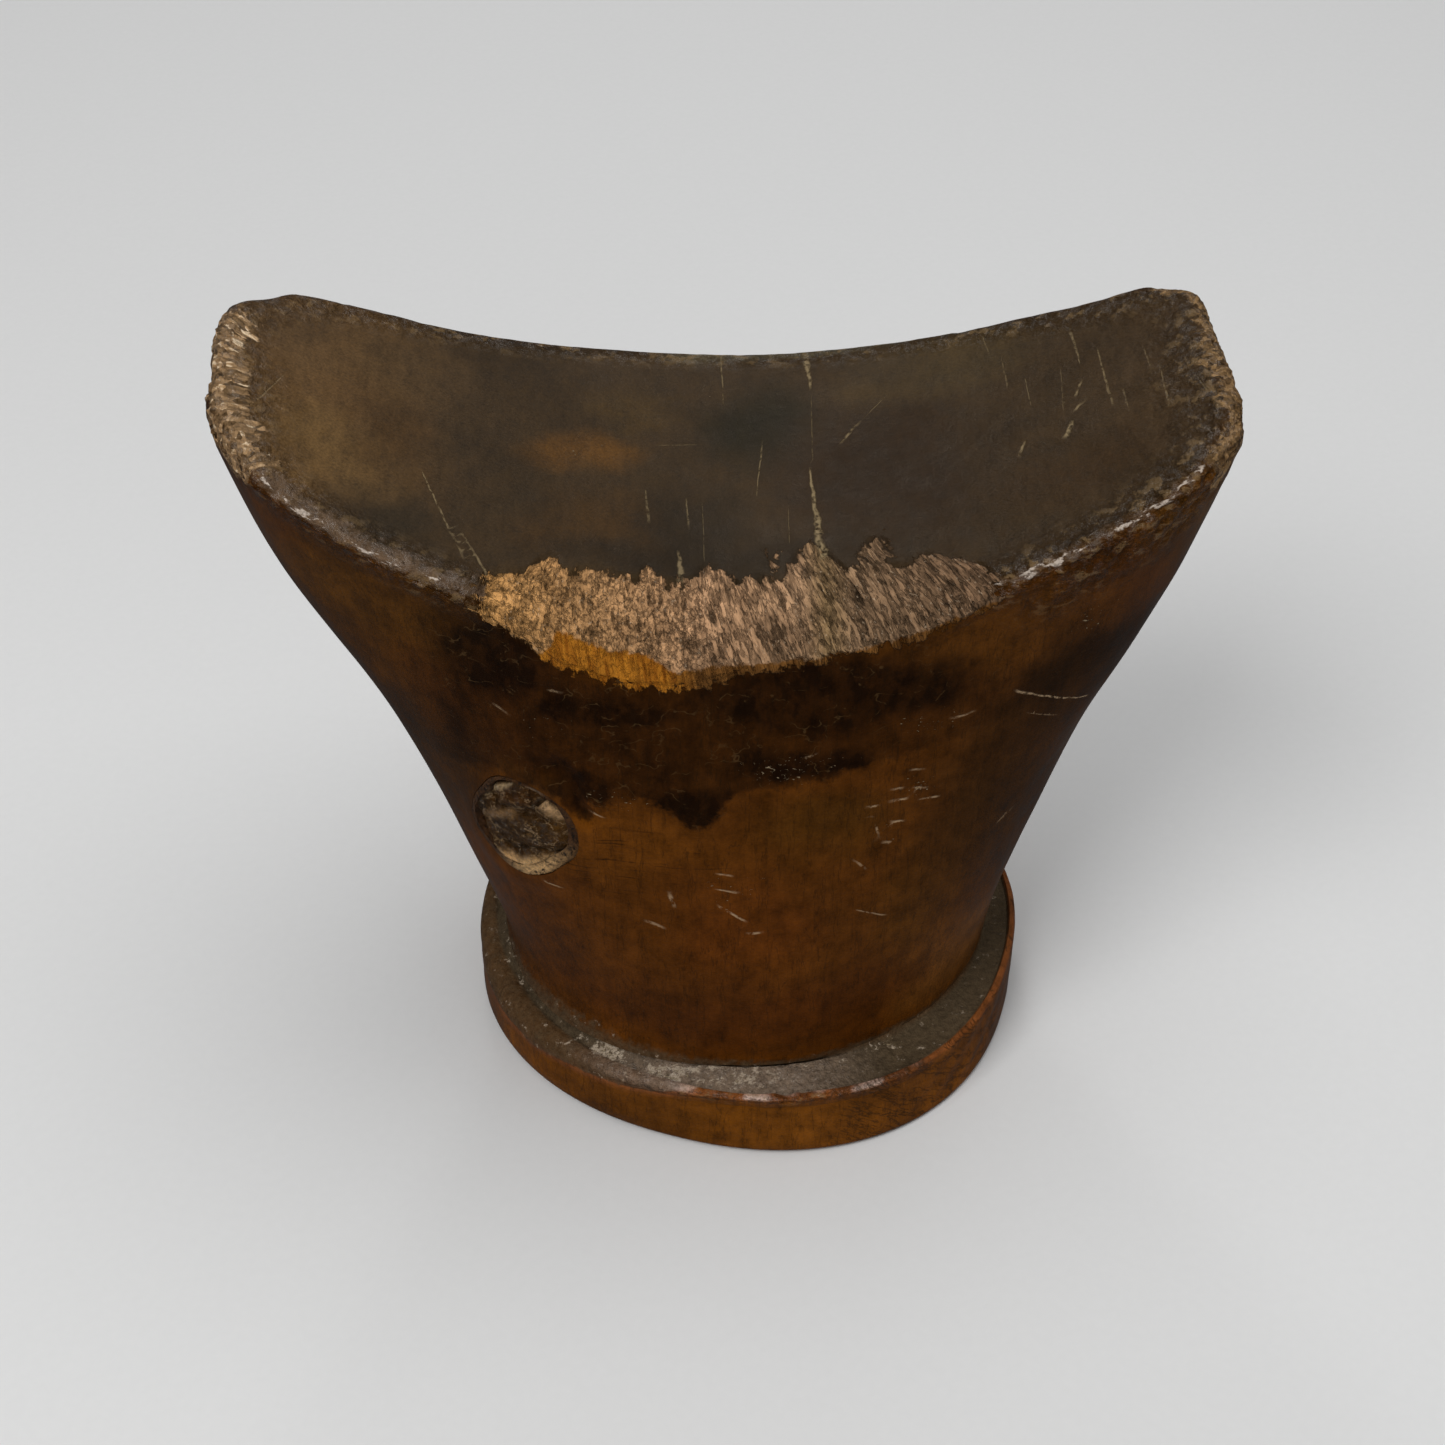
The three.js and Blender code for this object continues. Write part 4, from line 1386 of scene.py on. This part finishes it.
    def grimy(self, colour):
        """Grime on the ledge, with a paler crust in places. At the front the dirt is painted paler as a
        sheen, and the crust partly stands for glints.
        """
        crust = self.noise((2.8, 2, 2.4), 6, roughness=0.75) + self.speck * self.grime * 0.13
        dirt_colour = self.mix(self.shine * 0.9, DIRT, DIRT_WITH_SHEEN)
        uneven = 1 + self.swing(self.noise(1.2, 5, roughness=0.7), 1.3)
        dirt_colour = self.lit(dirt_colour, uneven)
        dirt_colour = self.mix(self.step(0.62, 0.7, crust) * 0.85, dirt_colour, CRUST_AND_GLINT)
        dirty = self.step(0.25, 0.75, self.grime + self.swing(self.noise(1.8, 4), 0.45))
        return self.mix(dirty * 0.7, colour, dirt_colour)

    def chipped(self, colour):
        """The chipped ends of the dish, in facets that each have a tilt and a tone of their own."""
        place = self.scaled(self.lip_place, (1 / 1.15, 1 / 1.15, 1 / 1.2))
        chip = {"Vector": place, "Scale": 1.0}
        middle, tint = self.add("ShaderNodeTexVoronoi", chip, ("Position", "Color"))
        offset = self.vector_maths("SUBTRACT", place, middle)
        lean = self.vector_maths("SUBTRACT", tint, (0.5, 0.5, 0.5))
        own = self.three(tint)[0]
        crumple = self.lip_noise((1.1, 1.1, 2), 4, 0.6)
        facet = self.vector_maths("DOT_PRODUCT", offset, lean, "Value")
        self.chip_relief = facet + crumple * 0.3
        ragged = self.ends + self.swing(self.noise(2.6, 4, roughness=0.65), 4)
        self.crumpled = self.step(-0.5, 0.6, ragged)

        pale = self.mix(self.step(-40, 40, self.lip_x), LEFT_CHIP, RIGHT_CHIP)
        paleness = own * 0.6 + self.step(0.4, 0.7, crumple) * 0.4
        chips = self.mix(paleness, DARK_CHIP, pale)
        # Painted glints on the brightest chips.
        bright = self.step(0.72, 0.8, own) * self.step(0.5, 0.6, crumple)
        chips = self.mix(bright * self.step(40, -40, self.lip_x), chips, CHIP_GLINT)
        return self.mix(self.crumpled * (0.55 + own * 0.4), colour, chips)

    def torn(self, colour):
        """The raw, torn lip and the bare orange wood under it."""
        rightness = self.step(-18, 8, self.lip_x)

        def towards_right(left, right):
            return left + rightness * (right - left)

        teeth = self.swing(self.lip_noise((1, 1, 60), 3, 0.65), 1.2)
        lobes = self.swing(self.lip_noise((2.6, 2.6, 3.4), 3), 4)
        ragged = self.raw + lobes + teeth + self.swing(self.noise(0.8, 3), 0.9)
        self.frayed = self.step(-0.35, 0.35, ragged)
        short, long = self.lip_noise((0.9, 0.9, 1.7), 5, 0.7), self.lip_noise((0.75, 0.75, 4.2), 4, 0.6)
        threads = towards_right(short, long)
        clumps = self.step(0.36, 0.56, self.lip_noise((3.2, 3.2, 4.2), 3))
        gaps = self.step(0.4, 0.47, self.lip_noise((1.2, 1.2, 4.5), 4, 0.65)) * (clumps * 0.25 + 0.75)
        wide, narrow = self.lip_noise((1.7, 1.7, 2.6), 4, 0.6), self.lip_noise((1.5, 1.5, 9), 3)
        grooves = self.crease(towards_right(wide, narrow), 0.035, 0.01)
        self.torn_relief = threads + gaps * 0.4 - grooves * 0.5

        # The raw fibres take painted shade in their gaps and grooves, and painted glints at their ends.
        strands = (self.step(0.36, 0.62, threads) * 0.85 + 0.5) * (self.tuft * 0.3 + 0.94)
        raw = self.lit(self.raw_tone, strands * (gaps * 0.55 + 0.52))
        raw = self.mix(grooves * 0.5, raw, self.lit(raw, 0.3))
        tips = self.step(0.6, 0.68, self.lip_noise((0.55, 0.55, 1.1), 4, 0.65))
        raw = self.mix(tips * 0.45, raw, FIBRE_TIP_GLINT)

        bare = self.orange + teeth * 0.4 + self.swing(self.noise(1.5, 3), 1.2)
        stripes = self.step(0.3, 0.7, self.lip_noise((0.9, 0.9, 14), 3))
        on_left, on_right = (self.mix(stripes, *tones) for tones in (BARE_ON_LEFT, BARE_ON_RIGHT))
        orange = self.mix(self.step(-15, -8, self.lip_x), on_left, on_right)
        raw = self.mix(self.step(-0.4, 0.4, bare), raw, orange)
        return self.mix(self.frayed, colour, raw)

    def scratches(self, colour):
        """Scratches, and pale specks: polish come off in flakes, and on the flank's nicks painted
        glints.
        """
        wander = self.scratch_offset + self.swing(self.noise(3, 2), 1.3)
        broken = self.step(0.36, 0.56, self.noise(1.3, 4, roughness=0.65))
        self.scratched = self.crease(wander, 1.15, 0.35, 0) * broken * self.scratch_strength
        scratch_colour = self.mix(self.dish, SIDE_SCRATCH, DISH_SCRATCH)
        colour = self.mix(self.scratched * 0.8, colour, scratch_colour)
        flake = self.noise((1, 0.8, 0.55), 3, roughness=0.6)
        self.flakes_and_glints = self.step(0, 0.04, flake + self.speck * 0.22 - 0.85)
        return self.mix(self.flakes_and_glints * 0.7, colour, FLAKE_AND_GLINT)

    def roughness(self):
        rough = self.swing(self.mottle, 0.2) + self.gloss * -0.16 + 0.47
        return rough + self.larger(self.frayed, self.crumpled * 0.5) * 0.25 + self.scratched * 0.2

    def coat(self):
        """The thick old polish on rubbed places, which is broken into patches."""
        patches = self.step(0.46, 0.56, self.noise(2, 5, roughness=0.7))
        return self.shine * patches * 0.9 * (1 - self.frayed)

    def relief(self):
        """The normal, from layers of bumps."""
        roughened = 0.12 + self.shine * 0.5 + self.grime * 0.5
        normal = self.bump(roughened * self.noise(1.5, 5, roughness=0.65), 1.0)
        normal = self.bump(self.shine * self.folds, 1.6, normal)
        normal = self.bump(self.noise(0.5, 2), 0.03, normal)
        normal = self.bump(self.side * self.fibres, 0.05, normal)
        normal = self.bump(self.crumpled * self.chip_relief, 0.9, normal)
        normal = self.bump(self.frayed * self.torn_relief, 0.9, normal)
        return self.bump(self.larger(self.scratched, self.flakes_and_glints) * -1, 0.15, normal)

    def build(self):
        colour = self.polished()
        layers = (self.stains, self.foot_strokes, self.folded, self.crest_wear_and_glints)
        layers += (self.grimy, self.chipped, self.torn, self.scratches)
        for layer in layers:
            colour = layer(colour)
        normal = self.relief()
        coating = lacquer(self.coat(), 0.14, normal)
        return self.finish(colour, self.roughness(), normal, **coating, **WOOD_POLISH)


def knot_wood():
    """The healed end of a dead branch: dark folds, grey-brown skin, a few pale lobes and painted glints
    along seams.
    """
    s = Shader("knot_wood")
    skin = s.noise((1.3, 1.0, 1.0), 7, roughness=0.8)
    streaks = s.noise((0.5, 0.5, 3.5), 3)
    brightness = 1 + s.swing(skin, 1.7) + s.swing(streaks, 0.5)
    colour = s.lit(s.attribute("tone"), s.larger(brightness, 0.2))
    flecks = s.step(0.57, 0.62, s.noise((1.5, 1.5, 0.9), 6, roughness=0.75))
    colour = s.mix(flecks * 0.4, colour, (0.36, 0.2, 0.08))
    cracks = s.step(0.42, 0.34, s.noise((0.9, 0.9, 1.6), 5, roughness=0.7))
    colour = s.mix(cracks * 0.7, colour, (0.012, 0.006, 0.003))
    # The pale seams are painted glints along the lobes' edges.
    seams = s.crease(s.noise((3.4, 3.4, 2.4), 5, roughness=0.6), 0.022, 0.006)
    seam_glints = seams * s.step(0.44, 0.54, s.noise(2.2, 3))
    colour = s.mix(seam_glints * 0.5, colour, (0.55, 0.36, 0.19))
    normal = s.bump(streaks, 0.3, s.bump(skin, 1.3))
    coat = s.step(0.5, 0.56, s.noise(1.6, 5, roughness=0.7)) * 0.9
    return s.finish(colour, skin * 0.3 + 0.2, normal, **lacquer(coat, 0.16, normal), **KNOT_POLISH)


def knot_bark():
    """Old bark pressed flat, pale where it has been rubbed and dark in its cracks."""
    s = Shader("knot_bark")
    flakes = s.noise(1.0, 6, roughness=0.75)
    cracks = s.step(0.34, 0.44, s.noise((0.8, 0.8, 1.3), 5, roughness=0.7))
    colour = s.lit(s.attribute("tone"), s.larger(1 + s.swing(flakes, 2), 0.2))
    colour = s.mix(cracks, (0.016, 0.008, 0.003), colour)
    normal = s.bump(cracks, 0.4, s.bump(flakes, 1.0))
    return s.finish(colour, flakes * 0.3 + 0.4, normal, **{"Specular IOR Level": 0.3})


# ---- Building the pieces ----


def build_block():
    at = Places()
    height, gully, fibre_height = carving(at)
    carved = at.points + at.normals * height[:, None]
    carved[:, 2] = np.maximum(carved[:, 2], 0)
    rows, columns = at.shape
    last = (rows - 1) * columns
    seam = seam_faces(last, at.angles, carved[last:, 0])
    piece = new_piece("block_wood", carved, grid_faces(rows, columns)[:-1] + seam)

    cutter = socket_cutter()
    boolean = piece.modifiers.new("socket", "BOOLEAN")
    boolean.operation, boolean.solver, boolean.object = "DIFFERENCE", "MANIFOLD", cutter
    apply_modifiers(piece)
    bpy.data.objects.remove(cutter)
    shade(piece, 55)

    # The cut has renumbered the points and added some, so each takes its nearest old one's numbers.
    tree = KDTree(len(carved))
    for i, point in enumerate(carved):
        tree.insert(point, i)
    tree.balance()
    old = np.array([tree.find(v.co / MM)[1] for v in piece.data.vertices])
    vectors, colours = wood_attributes(at, gully, fibre_height)
    vectors = {name: values[old] for name, values in vectors.items()}
    colours = {name: values[old] for name, values in colours.items()}
    set_attributes(piece, colours, vectors)
    piece.data.materials.clear()
    piece.data.materials.append(CarvedWood().build())
    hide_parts("carved_block")
    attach(piece, "root")


# Strokes of colour on the knot's face: two ends, half a width, a colour and an amount.
KNOT_STROKES = [
    ((-4.5, 9.6), (2.5, 9.4), 4.4, (0.058, 0.020, 0.003), 0.95),
    ((-10.2, 5.5), (-9.5, 3.5), 3.2, (0.040, 0.021, 0.009), 0.9),
    ((-7.5, 2.2), (-1.5, 4.6), 2.2, (0.28, 0.155, 0.065), 0.8),
    ((-2.5, -0.6), (6, 0.8), 4.6, (0.046, 0.019, 0.003), 0.95),
    ((8.5, 3.4), (9.5, 1.5), 3.0, (0.120, 0.048, 0.004), 0.8),
    ((4.8, 9.2), (8.2, 6.8), 2.6, (0.66, 0.40, 0.19), 0.85),
    ((-3.0, -8.2), (1.5, -9.0), 3.0, (0.84, 0.48, 0.20), 0.9),
    ((2, -8.4), (8.5, -6.4), 3.2, (0.94, 0.56, 0.24), 0.95),
    ((10.6, -4.2), (11.8, -1.8), 1.6, (0.32, 0.17, 0.06), 0.8),
    # A thin pale stroke along the upper left: a painted highlight on the lobes' top edge.
    ((-9.6, 8.0), (-4.0, 11.4), 1.2, (0.55, 0.38, 0.2), 0.9),
    ((4.4, 12.6), (3.2, 8.4), 0.9, (0.003, 0.002, 0.001), 1.0),
    ((-6.2, 6.3), (3.0, 7.4), 0.7, (0.012, 0.006, 0.003), 0.9),
    ((-4.4, -4.6), (10.0, -2.2), 0.7, (0.016, 0.009, 0.004), 0.8),
    ((-6.5, 0.2), (-4.8, -4.5), 1.4, (0.03, 0.014, 0.005), 0.8),
]
KNOT_COLOUR = (0.060, 0.025, 0.005)
DARK_BARK, PALE_BARK, BARK_EDGE_HIGHLIGHT = (0.070, 0.025, 0.003), (0.60, 0.36, 0.15), (0.62, 0.47, 0.32)


def knot_colours(points):
    u, v = on_knot_face(points)
    u = u + 1.1 * layered_noise(points, 2.4, 88, 3)
    v = v + 1.1 * layered_noise(points, 2.4, 92, 3)
    colour = np.tile(KNOT_COLOUR, (len(u), 1))
    for start, stop, half_width, other, amount in KNOT_STROKES:
        colour = tinted(colour, other, amount * near_line(u, v, start, stop, half_width))
    return shaded(colour, 1 + 0.25 * layered_noise(points, 3, 81, 2))


def bark_colours(points):
    """Dark bark, pale above and below, with a painted highlight line round its upper edge."""
    u, v = on_knot_face(points)
    turn = np.degrees(np.arctan2(v, u))
    share_out = np.hypot(u, v) / (KNOT_RADIUS + BARK + GAP)
    inner = smooth(1.02, 0.9, share_out + 0.05 * noise(points, 3, 82))
    above = smooth(-0.1, 0.5, noise(points, 4, 83)) * bump(turn, 110, 50)
    pale = np.maximum(above * inner, bump(turn, -62, 70) * (0.5 + 0.5 * inner))
    # A painted highlight along the bark's upper edge.
    outline = bump(share_out, 0.97, 0.07) * bump(turn, 112, 48)
    outline *= smooth(-0.5, 0.2, noise(points, 3, 87))
    colour = tinted(np.tile(DARK_BARK, (len(u), 1)), PALE_BARK, pale)
    return tinted(colour, BARK_EDGE_HIGHLIGHT, 0.85 * outline)


def build_knot_and_bark():
    knot_grid, bark_grid = branch_rings()
    knot_points, bark_points = knot_grid.reshape(-1, 3), bark_grid.reshape(-1, 3)
    knot = new_piece("knot_wood_core", knot_points, grid_faces(*knot_grid.shape[:2]))
    bark = new_piece("knot_bark_ring", bark_points, ring_faces(*bark_grid.shape[:2]))
    set_attributes(knot, {"tone": knot_colours(knot_points)})
    set_attributes(bark, {"tone": bark_colours(bark_points)})

    for piece, material, node, slot in (
        (knot, knot_wood(), "branch_knot", "knot_wood"),
        (bark, knot_bark(), "knot_bark", "knot_bark"),
    ):
        shade(piece, 60)
        piece.data.materials.append(material)
        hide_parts(node)
        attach(piece, "root")


# ---- The stage ----


def build_floor():
    size, depth = 4.0, 0.0004
    mesh = bpy.data.meshes.new("floor")
    corners = [(x * size, y * size, -depth) for x, y in ((-1, -1), (1, -1), (1, 1), (-1, 1))]
    mesh.from_pydata(corners, [], [(0, 1, 2, 3)])
    floor = bpy.data.objects.new("floor", mesh)
    bpy.context.scene.collection.objects.link(floor)
    s = Shader("floor_paper")
    grain = s.noise(2.0, 3)
    colour = s.mix(grain, (0.77, 0.77, 0.765), (0.80, 0.80, 0.795))
    mesh.materials.append(s.finish(colour, 0.9, s.bump(grain, 0.02), **{"Specular IOR Level": 0.1}))
    floor.visible_glossy = False  # the floor's own brightness would veil the dark polish
    floor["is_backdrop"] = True


def aimed(thing, place, target):
    thing.location = place
    thing.rotation_mode = "QUATERNION"
    thing.rotation_quaternion = (Vector(target) - Vector(place)).to_track_quat("-Z", "Y")
    bpy.context.scene.collection.objects.link(thing)
    return thing


def area_light(name, place, size, watts, colour=(1.0, 1.0, 1.0)):
    light = bpy.data.lights.new(name, "AREA")
    light.shape, light.size, light.size_y = "RECTANGLE", size[0], size[1]
    light.energy, light.color = watts, colour
    aimed(bpy.data.objects.new(name, light), place, (0, 0, 0.08))


def build_lights():
    area_light("key_light", (-0.55, -0.75, 1.35), (0.7, 0.7), 12)
    area_light("back_light", (0.15, 1.25, 1.1), (1.3, 0.7), 2)
    area_light("glint_light", (-0.1, 0.9, 1.05), (0.16, 0.16), 0.9)
    area_light("top_light", (0.3, 0.1, 1.7), (1.4, 1.4), 12)
    area_light("fill_light", (0.5, -1.5, 0.5), (1.6, 0.8), 4)
    world = bpy.data.worlds.new("studio")
    world.use_nodes = True
    background = world.node_tree.nodes["Background"]
    background.inputs["Color"].default_value = (0.9, 0.92, 0.95, 1)
    background.inputs["Strength"].default_value = 0.1
    bpy.context.scene.world = world
    bpy.context.scene.view_settings.view_transform = "Standard"


def build_camera():
    """The eye stands in front of the rest and well above it, looking down at the lip."""
    camera = bpy.data.cameras.new("camera")
    camera.lens, camera.sensor_width = 58.0, 36.0
    camera.clip_start, camera.clip_end = 0.05, 20
    target = (-0.001, -0.0114, 0.0849)
    distance, elevation, azimuth = 0.48, math.radians(42.6), math.radians(-2.0)
    level = distance * math.cos(elevation)
    place = (
        target[0] + level * math.sin(azimuth),
        target[1] - level * math.cos(azimuth),
        target[2] + distance * math.sin(elevation),
    )
    eye = aimed(bpy.data.objects.new("camera", camera), place, target)
    bpy.context.scene.camera = eye


build_block()
build_knot_and_bark()
build_floor()
build_lights()
build_camera()

visual_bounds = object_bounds()
boxes = {"cad": cad_bounds, "visual": visual_bounds}
{name: [list(corner) for corner in box] for name, box in boxes.items()}
